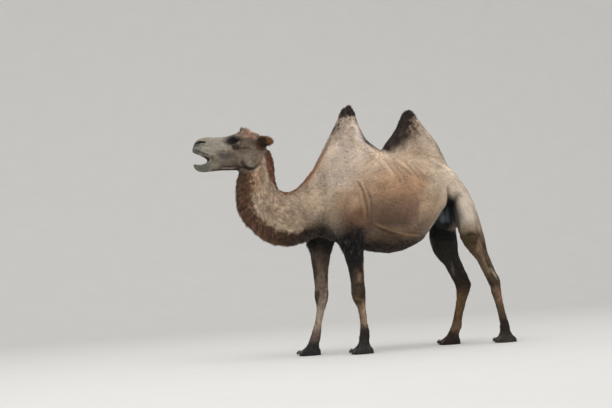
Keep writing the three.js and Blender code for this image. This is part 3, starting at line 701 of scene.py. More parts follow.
# The face: patches as above.
FACE = [
    ((-1.16, 1.80), (0.12, 0.042), 4, "#91887b", 0.7),
    ((-1.13, 1.728), (0.065, 0.036), 8, "#453d34", 0.85),
    ((-1.07, 1.70), (0.055, 0.050), 0, "#564c42", 0.55),
    ((-1.16, 1.69), (0.050, 0.030), 0, "#5a5148", 0.45),
    ((-1.03, 1.945), (0.10, 0.030), 10, "#8b7867", 0.6),
    ((-0.93, 1.905), (0.11, 0.034), 12, "#a5836b", 0.85),
    ((-0.925, 1.835), (0.080, 0.042), 0, "#514233", 0.8),
    ((-0.975, 1.775), (0.070, 0.040), 0, "#54463a", 0.65),
    # The two pale patches on the chewing muscle are painted highlight on its swelling.
    ((-0.912, 1.672), (0.062, 0.062), 0, "#74665a", 0.85),
    ((-0.925, 1.650), (0.025, 0.028), 0, "#94887a", 0.7),
    ((-0.955, 1.835), (0.020, 0.010), 20, "#756753", 0.4),
    ((-0.845, 1.70), (0.026, 0.070), 8, "#7b6955", 0.8),
    ((-0.830, 1.800), (0.050, 0.042), 0, "#2f2319", 0.95),
    # Painted shadow under the eye.
    ((-1.035, 1.794), (0.034, 0.024), 0, "#2a211b", 0.9),
    ((-1.050, 1.893), (0.070, 0.010), -6, "#7d766e", 0.8),
    # Dark fur round the eye, deepened as painted shade of the lids and lashes.
    ((-1.052, 1.848), (0.064, 0.032), -4, "#0f0c0b", 0.97),
    ((-0.975, 1.940), (0.030, 0.020), 0, "#6d625a", 0.75),
    ((-1.015, 1.873), (0.026, 0.008), -18, "#5d5048", 0.6),
    # Painted highlight on the lower lid.
    ((-1.006, 1.829), (0.013, 0.004), -10, "#8d847b", 0.8),
    ((-1.232, 1.705), (0.018, 0.026), 0, "#826442", 0.65),
    ((-1.20, 1.66), (0.03, 0.02), 0, "#655339", 0.4),
    ((-1.345, 1.650), (0.022, 0.016), 0, "#85827a", 0.6),
    ((-1.325, 1.862), (0.040, 0.010), 8, "#9c8772", 0.5),
    ((-1.33, 1.805), (0.030, 0.012), 0, "#8b8577", 0.5),
]

# Dark and light lines of the face: line, half width, colour and strength.
FACE_LINES = [
    # Painted shade in the jaw's groove.
    (JAW_LINE, 0.0045, "#3f342c", 0.5),
    ([(-1.366, 1.813), (-1.335, 1.818), (-1.295, 1.824)], 0.004, "#3d352e", 0.6),
    # Painted highlight on the roll under the jaw.
    ([(-1.17, 1.617), (-1.10, 1.614), (-1.00, 1.616)], 0.006, "#a09488", 0.5),
    # Painted shade in the crease round the chewing muscle.
    (CHEEK_EDGE, 0.013, "#3b2b1c", 0.85),
    ([(-1.368, 1.840), (-1.335, 1.850), (-1.285, 1.856)], 0.005, "#4a4038", 0.7),
    ([(-1.19, 1.752), (-1.12, 1.748), (-1.06, 1.742)], 0.009, "#8a7f70", 0.5),
    ([(-1.375, 1.783), (-1.34, 1.762), (-1.30, 1.742), (-1.24, 1.722)], 0.007, "#2b2825", 0.85),
    ([(-1.375, 1.800), (-1.34, 1.780), (-1.30, 1.760), (-1.25, 1.742)], 0.006, "#8f877a", 0.5),
    ([(-1.375, 1.668), (-1.345, 1.660), (-1.30, 1.664), (-1.26, 1.680)], 0.006, "#8d897e", 0.6),
    # Painted shade in the slit at the mouth's corner.
    ([(-1.28, 1.720), (-1.238, 1.705), (-1.222, 1.680)], 0.008, "#2a1d16", 0.7),
    ([(-0.990, 1.772), (-0.945, 1.785), (-0.89, 1.780)], 0.008, "#8f8272", 0.5),
]


def ear_share(P):
    """1 on the ears and 0 elsewhere."""
    x, y, z = P.T
    beside = step(np.abs(y), 0.055, 0.07)
    return step(x, -0.865, -0.835) * step(x, -0.68, -0.70) * beside * step(z, 1.76, 1.79)


def rows_at(heights, rows):
    """Colours down a limb, from rows of height and colour."""
    levels = np.array([height for height, _ in rows])[::-1]
    shades = np.array([linear(shade) for _, shade in rows])[::-1]
    return np.column_stack([np.interp(heights, levels, shades[:, i]) for i in range(3)])


def of_side(P, side):
    """True on one side, -1 left or 1 right, or everywhere for 0."""
    return P[:, 1] * side > 0 if side else np.ones(len(P), bool)


def mix(colour, target, share):
    """The colour moved towards another by a share at each place."""
    target = linear(target) if isinstance(target, str) else target
    return colour + (target - colour) * np.clip(share, 0, 1)[:, None]


def patched(colour, P, patches, outer=1.45, inner=0.55):
    """The colour with soft patches laid over it, each fading out from its inner to its outer oval."""
    for centre, radii, turn, shade, strength, *side in patches:
        share = step(spot(P, centre, radii, turn), outer, inner)
        colour = mix(colour, shade, strength * share * of_side(P, *side or [0]))
    return colour


def lined(colour, P, lines, soft=0.0):
    """The colour with streaks laid over it, each thinning out to its ends."""
    for line, width, shade, strength, *side in lines:
        gap, share, _ = to_line(P, line)
        profile = np.exp(-(((gap + soft) / width) ** 2)) * np.sin(np.pi * share) ** 0.5
        colour = mix(colour, shade, strength * profile * of_side(P, *side or [0]))
    return colour


def wander(P):
    """How far the edges of the markings wander at each place, in soft waves and in fine speckles."""
    return mottle(P, 0.09, 1) * 0.020 + mottle(P, 0.035, 2) * 0.012, mottle(P, 0.014, 6) * 0.022


def body_colour(P):
    """Sand, browner on the flanks, paler on croup and humps, nearly black under the belly, partly as painted
    shade.
    """
    x, _, z = P.T
    soft, speckle = wander(P)
    colour = np.tile(linear("#b09d88"), (len(P), 1))
    neck = step(x, -0.36, -0.50) * (1 - head_share(P)) * step(z, 0.84, 0.88)
    colour = mix(colour, "#a8917a", neck)
    colour = patched(colour, P + soft[:, None] + 0.4 * speckle[:, None], BODY_PATCHES, 1.7, 0.3)
    # The trunk above the belly is made a fifth lighter.
    lifted_trunk = step(x, -0.25, -0.08) * step(x, 1.00, 0.85) * step(z, 1.02, 1.20)
    colour = colour * (1 + 0.20 * lifted_trunk)[:, None]
    # Towards the belly the coat darkens to nearly black: partly its own colour, partly painted shade where
    # the body curves under.
    low = step(x, 0.90, 0.62) * step(x, -0.46, -0.36)
    h = z + soft + speckle
    colour = mix(colour, "#4a3829", 0.8 * step(h, 1.04, 0.97) * low * step(x, -0.05, 0.05))
    return mix(colour, "#2f241a", step(h, 0.975, 0.905) * low)


def with_legs(colour, P, N):
    """Forelegs dark outside, paler inside; hind legs darker inside, partly painted shade; the groin painted
    shade.
    """
    x, y, z = P.T
    soft, speckle = wander(P)
    fore = step(x + 0.5 * speckle, 0.035, 0.0) * step(z + soft + speckle, 1.085, 1.03)
    fore = np.maximum(fore, step(x, 0.10, 0.05) * step(z, 0.93, 0.86)) * step(x, -0.62, -0.5)
    hind = step(x, 0.70, 0.80) * step(z, 1.06, 0.99)
    inner = step(N[:, 1] * np.sign(y), 0.25, -0.15)
    level = np.where(z > 0.66, z + 2.2 * soft + 1.2 * speckle, z + soft)
    colour = mix(colour, rows_at(level, FORELEG), fore * (1 - inner))
    # Pale specks on the black curls of the upper forelegs are painted highlights.
    curled = locks_of(P, 0.018)[1][:, 0]
    colour = mix(colour, "#5a4d42", 0.5 * fore * step(curled, 0.78, 1.0) * step(z, 0.78, 0.88))
    colour = mix(colour, rows_at(level, FORELEG_INSIDE), fore * inner)
    colour = mix(colour, rows_at(level, HINDLEG), hind * (1 - inner))
    colour = mix(colour, rows_at(level, HINDLEG_INSIDE_SHADED), hind * inner)
    colour = patched(colour, P + soft[:, None] + 0.4 * speckle[:, None], LEG_PATCHES)

    # The groin lies in deep shade, so it and the top of the inner thighs are painted nearly black, and the
    # grey on the udder is a painted highlight.
    groin = step(np.abs(y), 0.235, 0.17) * step(x, 0.68, 0.75) * step(x, 0.94, 0.89) * step(z, 1.40, 1.33)
    groin = np.maximum(groin * step(z, 0.92, 0.97), hind * inner * step(z, 0.9, 1.0))
    colour = mix(colour, "#0c0b0b", groin)
    udder_highlight = blob(P, (0.82, 1.125), (0.040, 0.035)) * (np.abs(y) < 0.16) * step(z, 1.05, 1.08)
    return mix(colour, "#a9b6c0", udder_highlight)


def on_line(P, line, narrow, wide, waver):
    """1 near a line and 0 away from it. The edge wavers by a distance at each place."""
    return step(to_line(P, line)[0] + waver, wide, narrow)


def with_crests(colour, P):
    """The humps' tips and edges are dark, and so is the line of the back."""
    x, y, z = P.T
    soft, speckle = wander(P)
    waver = soft + speckle
    tip = step(z + waver, 2.000, 2.045) * (x < 0.25)
    tip = np.maximum(tip, step(z + waver - 0.25 * (x - 0.55), 1.985, 2.03) * (x > 0.35))
    away = to_line(P, REAR_RISE)[0] + soft + 2.2 * speckle
    wide = np.interp(z, [1.72, 1.80, 1.90, 2.0], [0.080, 0.115, 0.120, 0.105])
    behind = step(x, 0.28, 0.33)
    colour = mix(colour, "#6a5241", 0.7 * step(away, wide + 0.085, wide) * behind * step(z, 1.70, 1.84))
    front = step(away, wide + 0.030, wide - 0.030) * behind * step(z + soft + 2.2 * speckle, 1.67, 1.78)
    curled = locks_of(P, 0.016)[1][:, 0]
    front *= 1 - 0.3 * step(curled, 0.62, 0.95) * step(z, 1.98, 1.88)
    colour = mix(colour, "#241811", np.maximum(tip, front * 0.97))
    ridge = step(np.abs(y), 0.11, 0.05)
    colour = mix(colour, "#6b4c36", on_line(P, FRONT_RISE[1:], 0.004, 0.020, waver) * 0.85 * ridge)
    colour = mix(colour, "#33251d", on_line(P, FRONT_RISE[3:], 0.002, 0.022, waver))
    colour = mix(colour, "#33241b", on_line(P, FRONT_FALL, 0.018, 0.038, waver))
    return mix(colour, "#6b4730", on_line(P, REAR_FALL[:6], 0.016, 0.038, soft + 1.6 * speckle) * 0.8 * ridge)


def with_neck(colour, P):
    """A rust mane along the top of the neck and a brown fringe along the throat."""
    x, y, z = P.T
    soft, speckle = wander(P)
    waver = soft + speckle
    bare = 1 - head_share(P)
    wide = np.interp(z, [1.42, 1.46, 1.54, 1.68], [0.016, 0.038, 0.088, 0.112])
    mane = on_line(P, NAPE, wide - 0.007, wide + 0.007, 0.4 * soft + 0.6 * speckle) * (x < -0.60)
    colour = mix(colour, "#744b37", mane * bare)
    colour = mix(colour, "#5f3d2b", on_line(P, NAPE, 0.010, 0.034, waver) * bare * 0.5 * (x < -0.66))
    colour = mix(colour, "#8a5735", on_line(P, NAPE_LOW, 0.016, 0.036, waver) * step(np.abs(y), 0.11, 0.05))
    fringe = on_line(P, THROAT, 0.100, 0.130, soft + 1.6 * speckle) * bare * step(x, -0.36, -0.44)
    colour = mix(colour, "#694c3a", fringe)
    colour = mix(colour, "#38281d", fringe * step(x, -0.90, -0.50))
    colour = mix(colour, "#553a2b", fringe * on_line(P, THROAT, 0.02, 0.06, 0) * 0.6)
    return lined(colour, P, STREAKS, 0.3 * soft)


def with_head(colour, P, N):
    """Grey-brown face, slate muzzle, dark eye patch, brown crown and dark ears, and painted shade under the
    jaw.
    """
    x, y, z = P.T
    soft, speckle = wander(P)
    head = head_share(P)
    face = np.tile(linear("#7a6b5d"), (len(P), 1))
    for shade, share in (
        ("#857f71", step(x + soft, -1.10, -1.18)),
        ("#94897b", step(z, 1.845, 1.865) * step(x, -1.07, -1.15) * step(x, -1.33, -1.27)),
        ("#5e5d58", step(x + soft, -1.32, -1.35) * step(z, 1.74, 1.76)),
        ("#65625a", step(x + soft, -1.24, -1.29) * step(z, 1.73, 1.70)),
        ("#64564c", step(x, -1.20, -1.15) * step(z, 1.69, 1.66)),
    ):
        face = mix(face, shade, share)
    face = patched(face, P + 0.4 * soft[:, None] + 0.3 * speckle[:, None], FACE)
    face = lined(face, P, FACE_LINES, 0.15 * soft)
    mouth = blob(P, (-1.29, 1.70), (0.07, 0.022), 8) * step(np.abs(y), 0.052, 0.042)
    face = mix(face, "#4f3b35", mouth)
    # The nostril slit is painted nearly black, as the shade inside it.
    face = mix(face, "#1a1513", on_line(P, NOSTRIL_SLIT, 0.005, 0.0095, 0) * step(np.abs(y), 0.02, 0.03))
    colour = mix(colour, face, head)
    ear = ear_share(P)
    ear_base = step(np.linalg.norm(P[:, [0, 2]] - [-0.822, 1.820], axis=1), 0.058, 0.022)
    colour = mix(colour, "#75502f", ear)
    colour = mix(colour, "#2a1e15", ear * ear_base)
    colour = mix(colour, "#8a5c3c", ear * step(x + speckle, -0.735, -0.715) * 0.8)
    # The underside of the jaw, facing down, is painted dark as shade.
    under = step(N[:, 2], -0.30, -0.75) * head * step(x, -1.26, -1.22)
    return mix(colour, "#2a1f18", under * 0.9)


def coat_colour(P, N):
    """The markings at each place, with some light and shade painted in, in linear RGB."""
    x, y, z = P.T
    colour = with_legs(body_colour(P), P, N)
    colour = with_head(with_neck(with_crests(colour, P), P), P, N)
    tail = step(x, 1.05, 1.09) * step(np.abs(y), 0.05, 0.03) * step(z, 1.35, 1.2)
    colour = mix(colour, "#8f7a64", tail)
    colour = mix(colour, "#4a3829", tail * step(z, 1.05, 0.95))
    shade = 1 + 0.10 * mottle(P, 0.06, 3) + 0.13 * mottle(P, 0.026, 4) + 0.13 * mottle(P, 0.012, 5)
    return np.clip(colour * shade[:, None], 0, 1)


def paint(mesh, colours):
    """Gives the mesh's vertices their colours, as the attribute that the materials read."""
    layer = mesh.color_attributes.new("coat", "FLOAT_COLOR", "POINT")
    rgba = np.column_stack([colours, np.ones(len(colours))])
    layer.data.foreach_set("color", rgba.astype(np.float32).ravel())


def add(tree, kind, settings=None, **links):
    """A node with its settings, and links from (node, output) pairs to its inputs."""
    node = tree.nodes.new(kind)
    for name, value in (settings or {}).items():
        if name in node.inputs:
            node.inputs[name].default_value = value
        else:
            setattr(node, name, value)
    for name, (source, output) in links.items():
        tree.links.new(source.outputs[output], node.inputs[name.replace("_", " ")])
    return node


def shader(material, settings, **links):
    """The material's Principled shader, with its settings and links."""
    tree = material.node_tree
    node = add(tree, "ShaderNodeBsdfPrincipled", settings, **links)
    out = add(tree, "ShaderNodeOutputMaterial")
    tree.links.new(node.outputs["BSDF"], out.inputs["Surface"])


def plain_material(name):
    """A new material with an empty node tree, the tree, and its object coordinates."""
    material = bpy.data.materials.new(name)
    material.use_nodes = True
    material.node_tree.nodes.clear()
    return material, material.node_tree, add(material.node_tree, "ShaderNodeTexCoord")


def with_marks(tree, place, grains):
    """The mesh's own markings, toned by noises. Each has a scale, a detail, and a least and a most tone."""
    shaded, output = add(tree, "ShaderNodeAttribute", {"attribute_name": "coat"}), "Color"
    for scale, detail, least, most in grains:
        noise = add(tree, "ShaderNodeTexNoise", {"Scale": scale, "Detail": detail}, Vector=(place, "Object"))
        tone = add(tree, "ShaderNodeMapRange", {"To Min": least, "To Max": most}, Value=(noise, "Fac"))
        toned = add(tree, "ShaderNodeVectorMath", {"operation": "SCALE"}, Scale=(tone, 0))
        tree.links.new(shaded.outputs[output], toned.inputs[0])
        shaded, output = toned, 0
    return shaded, noise


def unit(V):
    return V / np.maximum(np.linalg.norm(V, axis=1), 1e-9)[:, None]


# Places (x, z) on the body, and the way (x, z) that the hair lies there.
FLOW = [
    (-1.36, 1.80, 1.0, 0.25), (-1.25, 1.84, 1.0, 0.15), (-1.20, 1.70, 1.0, -0.3), (-1.05, 1.90, 1.0, 0.35),
    (-1.05, 1.75, 1.0, -0.35), (-0.95, 1.70, 0.7, -0.7), (-0.95, 1.90, 1.0, 0.2), (-0.85, 1.83, 1.0, 0.1),
    (-0.85, 1.62, 0.15, -1.0), (-0.75, 1.7, 0.15, -1.0), (-0.82, 1.4, 0.05, -1.0), (-0.95, 1.3, -0.1, -1.0),
    (-0.85, 1.15, 0.45, -0.9), (-0.65, 1.12, 0.8, -0.6), (-0.60, 1.35, 0.7, -0.7), (-0.40, 1.20, 0.5, -0.9),
    (-0.40, 1.45, 0.9, -0.5), (-0.15, 1.20, 0.3, -1.0), (-0.12, 0.95, 0.2, -1.0), (0.15, 1.30, 1.0, -0.4),
    (0.00, 1.55, 0.9, -0.5), (0.00, 1.85, 0.35, -0.8), (0.02, 2.05, 0.3, 1.0), (0.30, 1.65, 1.0, -0.3),
    (0.50, 1.85, 0.4, -0.7), (0.57, 2.03, 0.5, 1.0), (0.72, 1.75, 0.7, -0.7), (0.30, 1.02, 1.0, -0.1),
    (0.60, 1.20, 1.0, -0.2), (0.65, 1.45, 0.9, -0.5), (0.90, 1.45, 0.6, -0.8), (1.0, 1.15, 0.3, -1.0),
    (0.9, 0.95, 0.3, -1.0), (-0.2, 0.5, 0.1, -1.0), (-0.2, 0.1, 0.0, -1.0), (1.1, 0.6, 0.1, -1.0),
    (1.1, 0.1, 0.0, -1.0), (1.12, 1.1, 0.1, -1.0), (-0.25, 1.70, 0.8, 0.5), (0.10, 0.93, 1.0, 0.0),
]


def lie(P, N):
    """The way hair lies at each place, along the skin."""
    places, ways = np.hsplit(np.array(FLOW), 2)
    ways = unit(ways)
    gaps = np.linalg.norm(P[:, None, [0, 2]] - places[None], axis=2)
    flow = (1 / (gaps + 0.02) ** 4) @ ways
    flow = unit(np.column_stack([flow[:, 0], np.zeros(len(P)), flow[:, 1]]))
    flow[:, 1] += 0.5 * np.sign(P[:, 1]) * step(np.abs(N[:, 2]), 0.7, 1.0) * (N[:, 2] > 0)
    along = flow - N * (flow * N).sum(1)[:, None]
    flat = np.linalg.norm(along, axis=1) < 0.05
    along[flat] = np.cross(N[flat], [0.0, 1.0, 0.0]) + 1e-3
    return unit(along)


# Hide under short hair: matt, with patches of 2 cm, a grain of 4 mm, and pores of a little over 1 mm.
hide, tree, place = plain_material("camel_hide")
shaded, grain = with_marks(tree, place, [(45.0, 4.0, 0.85, 1.15), (250.0, 3.0, 0.82, 1.18)])
pores = add(tree, "ShaderNodeTexVoronoi", {"Scale": 800.0}, Vector=(place, "Object"))
rough = add(tree, "ShaderNodeBump", {"Strength": 0.5, "Distance": 0.0012}, Height=(grain, "Fac"))
pits = {"Strength": 0.25, "Distance": 0.0006}
pitted = add(tree, "ShaderNodeBump", pits, Height=(pores, "Distance"), Normal=(rough, 0))
shader(hide, {"Roughness": 0.82, "Specular IOR Level": 0.25}, Base_Color=(shaded, 0), Normal=(pitted, 0))

# Fine streaks along the lie of the hair: random values that spread most along the edges that follow it.
P, N = points_of(skin_mesh)
ends = edges_of(skin_mesh)
along = unit(P[ends[:, 1]] - P[ends[:, 0]])
pull = np.abs((along * lie(P[ends].mean(1), unit(N[ends].mean(1)))).sum(1)) ** 8 + 0.01
streaks = chance.normal(0, 1, len(P))
for _ in range(5):
    total = np.bincount(ends.ravel(), np.repeat(pull, 2), len(P)) + 0.3
    fresh = np.bincount(ends[:, 0], streaks[ends[:, 1]] * pull, len(P))
    fresh += np.bincount(ends[:, 1], streaks[ends[:, 0]] * pull, len(P))
    streaks = (fresh + 0.3 * streaks) / total
streaks = np.clip(streaks / streaks.std(), -2.5, 2.5)
set_points(skin_mesh, P + N * (0.0010 * streaks * (1 - 0.7 * head_share(P)))[:, None])

# The skin's colours: markings, streaks, locks that differ in tone, broad on the body and narrow on the head,
# and shade in the grooves.
P, N = points_of(skin_mesh)
head = head_share(P)
wispy = 0.09 + 0.08 * step(P[:, 0], -0.2, -0.45) * (1 - head) - 0.03 * head
skin_colours = coat_colour(P, N) * (1 + wispy * streaks)[:, None]
broad, narrow = (2 * locks_of(P, size)[1][:, 0] - 1 for size in (0.021, 0.011))
skin_colours *= (1 + 0.16 * (1 - head) * broad + 0.13 * head * narrow)[:, None]
skin_colours *= (1 - 0.5 * np.clip(grooves(P, N) / 0.010, -0.25, 1))[:, None]
skin_colours = np.clip(skin_colours, 0, 1)
paint(skin_mesh, skin_colours)
skin_mesh.materials.append(hide)
skin = placed("skin", skin_mesh)
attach(skin, "root")
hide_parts(*FLESH)

# ---------------------------------------------------------------- the coat
# Summer hair: short flat tufts over the whole body, each a thin tapered blade rooted in the skin and laid
# along it. Each tuft carries the colour of its root.

ROOT_DEPTH = 0.0006  # how far inside the skin a blade is rooted
FLOOR_GAP = 0.001  # the lowest that a tip hangs above the floor
UV_PATCH = 0.0024  # the side of a blade's patch in the unwrap

skin_mesh.calc_loop_triangles()
corners = rows_of(skin_mesh.loop_triangles, "vertices", 3, np.int32)
loops = rows_of(skin_mesh.loop_triangles, "loops", 3, np.int32)
corner_uvs = rows_of(skin_mesh.uv_layers["OFBake"].data, "uv", 2)[loops]
middles = P[corners].mean(1)
sides = P[corners[:, 1:]] - P[corners[:, :1]]
areas = np.linalg.norm(np.cross(sides[:, 0], sides[:, 1]), axis=1) / 2


def roots(count, density):
    """Random places on the skin, as many as count, spread by a density for each of its triangles."""
    weight = areas * np.clip(density, 0, None)
    picked = chance.choice(len(corners), count, p=weight / weight.sum())
    u, v = chance.random((2, count))
    over = u + v > 1
    u[over], v[over] = 1 - u[over], 1 - v[over]
    shares = np.column_stack([1 - u - v, u, v])[:, :, None]
    place = (P[corners[picked]] * shares).sum(1)
    normal = unit((N[corners[picked]] * shares).sum(1))
    uv = (corner_uvs[picked] * shares).sum(1)
    colour = (skin_colours[corners[picked]] * shares).sum(1)
    return place, normal, uv, colour


def scaled(V, amounts):
    """Each row of V times its own amount."""
    return V * amounts[:, None]


def blade_mesh(name, corners, uvs, colours, normals):
    """One mesh of many blades. Each blade has its corners in pairs from the root up, and a tip."""
    count, per, _ = corners.shape
    faces = []
    for a in range(0, per - 3, 2):
        faces += [(a, a + 1, a + 3), (a, a + 3, a + 2)]
    faces.append((per - 3, per - 2, per - 1))
    faces = (np.arange(count)[:, None, None] * per + np.array(faces)[None]).reshape(-1, 3)
    mesh = bpy.data.meshes.new(name)
    mesh.vertices.add(count * per)
    mesh.vertices.foreach_set("co", corners.astype(np.float32).ravel())
    mesh.loops.add(len(faces) * 3)
    mesh.loops.foreach_set("vertex_index", faces.astype(np.int32).ravel())
    mesh.polygons.add(len(faces))
    mesh.polygons.foreach_set("loop_start", np.arange(0, len(faces) * 3, 3, dtype=np.int32))
    shade_smooth(mesh)
    mesh.update()
    layer = mesh.uv_layers.new(name="OFBake")
    layer.data.foreach_set("uv", uvs.reshape(-1, 2)[faces.ravel()].astype(np.float32).ravel())
    paint(mesh, colours.reshape(-1, 3))
    mesh.normals_split_custom_set_from_vertices(np.repeat(normals, per, axis=0))
    return mesh


def tufts(name, seeds, way, length, width, rise, slot, lock, gather=0.4, tone=0.1, joints=2, ragged=0.25):
    """One piece of coat. A blade from each root starts along way and stands up by rise. The blades of one
    lock, lock metres across, share a tone and a turn, and gather to a common tip."""
    place, normal, uv, colour = seeds
    count = len(place)
    middle, draw = locks_of(place, lock)
    draw = draw * 2 - 1
    tone = np.broadcast_to(tone(place) if callable(tone) else tone, count)
    off = middle - place
    off -= scaled(normal, (off * normal).sum(1))
    off *= np.minimum(1, lock / np.maximum(np.linalg.norm(off, axis=1), 1e-6))[:, None]

    length = length * chance.uniform(0.7, 1.2, count) * (1 + 0.25 * draw[:, 0])
    across = unit(np.cross(way, normal))
    swing = chance.normal(0, ragged, count) + 0.9 * ragged * draw[:, 1]
    way = unit(way + scaled(across, swing))
    across = unit(np.cross(way, normal) + scaled(normal, chance.normal(0, 0.25, count)))
    rise = rise * chance.uniform(0.5, 1.5, count) * (1 + 0.3 * draw[:, 2])
    heading = unit(way + scaled(normal, rise))
    rows, here = [], place - normal * ROOT_DEPTH
    for joint in range(joints):
        half = scaled(across, width / 2 * (1 - 0.35 * joint / joints) * chance.uniform(0.8, 1.2, count))
        rows += [here - half, here + half]
        here = here + scaled(heading, length / joints) + off * (gather / joints)
        heading = unit(heading - scaled(normal, rise * 0.9 / joints))
    rows.append(here)
    corners = np.stack(rows, 1)
    corners[:, :, 2] = np.maximum(corners[:, :, 2], FLOOR_GAP)

    along = np.linspace(0, 1, len(rows))
    sideways = np.where(np.arange(len(rows)) % 2, 0.5, -0.5)
    uvs = np.clip(uv[:, None] + UV_PATCH * np.column_stack([sideways, along - 0.5]), 0, 1)
    edge = np.linalg.norm(off, axis=1) / lock
    shade = chance.uniform(0.86, 1.14, count) * (1 + tone * draw[:, 0]) * (1 + tone * (0.8 - 2 * edge))
    colours = np.clip(scaled(colour, shade)[:, None] * (0.86 + 0.26 * along)[None, :, None], 0, 1)
    facing = normal + scaled(across, chance.normal(0, 0.18, count) + 1.6 * tone * draw[:, 2])
    facing = unit(facing + scaled(way, chance.normal(0.1, 0.12, count)) - scaled(off, 2.2 * tone / lock))
    mesh = blade_mesh(name, corners, uvs, colours, facing)
    mesh.materials.append(hair)
    piece = placed(name, mesh)
    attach(piece, "root")


# Dry wool and guard hair: matt, with a faint silky edge and a fine change of tone along each tuft.
hair, tree, place = plain_material("camel_hair")
shaded, _ = with_marks(tree, place, [(400.0, 2.0, 0.85, 1.15)])
sheen = {"Sheen Weight": 0.08, "Sheen Roughness": 0.5}
shader(hair, {"Roughness": 0.75, "Specular IOR Level": 0.2, **sheen}, Base_Color=(shaded, 0))

x, y, z = middles.T
head = head_share(middles)
leg = step(z, 0.92, 0.86)
neck = step(x, -0.44, -0.46) * (1 - head) * (z > 0.86)
trunk = (1 - head) * (1 - neck) * (1 - leg)
hump = trunk * step(z, 1.64, 1.66)
# No hair grows on the eyes, in the mouth and the nostrils, or under the soles.
bare = near(middles, EYE_CENTRES.values(), 0.026) | near(middles, NOSTRILS, 0.02) | (z < 0.006)
bare |= (x < -1.2) & (np.abs(y) < 0.035) & (z > 1.66) & (z < 1.76)
haired = np.where(bare, 0.0, 1.0)
SHORT_RISE = 0.21


def short_coat(name, count, density, length, width, slot, lock, **more):
    seeds = roots(count, density * haired)
    reach = length(seeds[0]) if callable(length) else np.full(count, length)
    tufts(name, seeds, lie(*seeds[:2]), reach, width, SHORT_RISE, slot, lock, **more)


def face_length(P):
    return 0.007 + 0.006 * step(P[:, 0], -1.2, -0.9)


def trunk_tone(P):
    """The trunk's coat is even on the flanks, and its locks stand out more towards the neck."""
    return 0.17 + 0.12 * step(P[:, 0], -0.15, -0.30)


flanks = trunk * (1 - hump)
face = head * np.where(x < -1.15, 0.8, 1.3)
leg *= step(z, 0.0, 0.1)
short_coat("coat_head", 36000, face, face_length, 0.0013, "coat_face", 0.010, tone=0.18)
short_coat("coat_neck", 60000, neck, 0.020, 0.0022, "coat_body", 0.022, gather=0.55, tone=0.25)
short_coat("coat_trunk_left", 56000, flanks * (y < 0), 0.017, 0.0026, "coat_body", 0.017, tone=trunk_tone)
short_coat("coat_trunk_right", 56000, flanks * (y >= 0), 0.017, 0.0026, "coat_body", 0.017, tone=trunk_tone)
short_coat("coat_humps", 46000, hump, 0.018, 0.0024, "coat_body", 0.018, tone=0.19)
short_coat("coat_forelegs", 43000, leg * (x < 0.4), 0.013, 0.0020, "coat_leg", 0.014, tone=0.24)
short_coat("coat_hindlegs", 48000, leg * (x >= 0.4), 0.013, 0.0020, "coat_leg", 0.014, tone=0.24)

# ---------------------------------------------------------------- long hair
# What is left of the winter coat: a dark fringe down the throat, a mane, tousled caps on both humps, a ragged
# line along the back, a forelock, ragged ears, dark curls on the upper forelegs and the tail's tassel.

UP = np.array([0.0, 0.0, 1.0])


def close_to(line, far, full):
    """A density that is 1 within a distance of a line and 0 from another distance on."""
    return step(to_line(middles, line)[0], far, full)


def long_hair(name, count, density, way, length, width, lock, height=None, **more):
    """Hair that shortens to its edges. Its tips reach out as far as the skin was drawn in, or by height."""
    seeds = roots(count, density * haired)
    place, normal = seeds[:2]
    reach = length * np.clip(coat_depth(place) / 0.018, 0.45, 1)
    out = np.clip((height or coat_depth)(place) / reach, 0, 0.8)
    rise = 1.5 * np.tan(np.arcsin(out))
    along = way(place, normal)
    along = unit(along - scaled(normal, (along * normal).sum(1)))
    tufts(name, seeds, along, reach, width, rise, "coat_dark", lock, joints=3, **more)


def leaning(x, z):
    """Hair that lies as the coat does, turned towards +X and up by shares."""
    return lambda P, N: lie(P, N) + np.array([x, 0, z])


def outwards(line, push, hang):
    """Hair that points out from a line of the outline, and hangs."""

    def way(P, N):
        _, _, run = to_line(P, line)
        out = np.column_stack([run[:, 1], np.zeros(len(P)), -run[:, 0]])
        return lie(P, N) * (1 - abs(push)) + out * push - hang * UP

    return way


def throat_height(P):
    """The fringe stands out by 42 mm at the throat, and by 30 mm low on the neck."""
    return 0.042 - 0.012 * step(P[:, 2], 1.12, 1.00)


throat = close_to(THROAT, 0.12, 0.04) * (1 - head)
swept = outwards(THROAT, 0.6, 0.35)
long_hair("hair_throat", 27000, throat, swept, 0.054, 0.0022, 0.024, throat_height, gather=0.75, tone=0.40)

mane = close_to(NAPE, 0.10, 0.03) * (1 - head)
long_hair("hair_nape", 13000, mane, outwards(NAPE, -0.5, 0.2), 0.038, 0.0022, 0.020, gather=0.7, tone=0.32)

caps = np.maximum(close_to(FRONT_TIP, 0.13, 0.03), close_to(REAR_TIP, 0.15, 0.03))
long_hair("hair_hump_caps", 15000, caps, leaning(0.1, 0.2), 0.034, 0.0026, 0.022, gather=0.7, tone=0.28)

ridge = close_to(CREST, 0.035, 0.008) * (1 - caps)
ragged = outwards(CREST, -0.5, -0.1)
long_hair("hair_crest", 10000, ridge, ragged, 0.032, 0.0022, 0.018, gather=0.6, tone=0.25)


def patch(centre, radii, far, full):
    """A density on an oval in side view, 0 from far on and 1 within full, both as shares of the oval."""
    return step(spot(middles, centre, radii), far, full)


def curls_height(P):
    """Hair stands out most behind the elbows, at the backs of both forelegs, and least along the belly."""
    curls = np.maximum(blob(P, (0.0, 0.93), (0.06, 0.09)), blob(P, (-0.46, 0.93), (0.06, 0.09)))
    return 0.010 + np.maximum(0.012 * step(P[:, 2], 0.94, 0.97), 0.022 * curls)


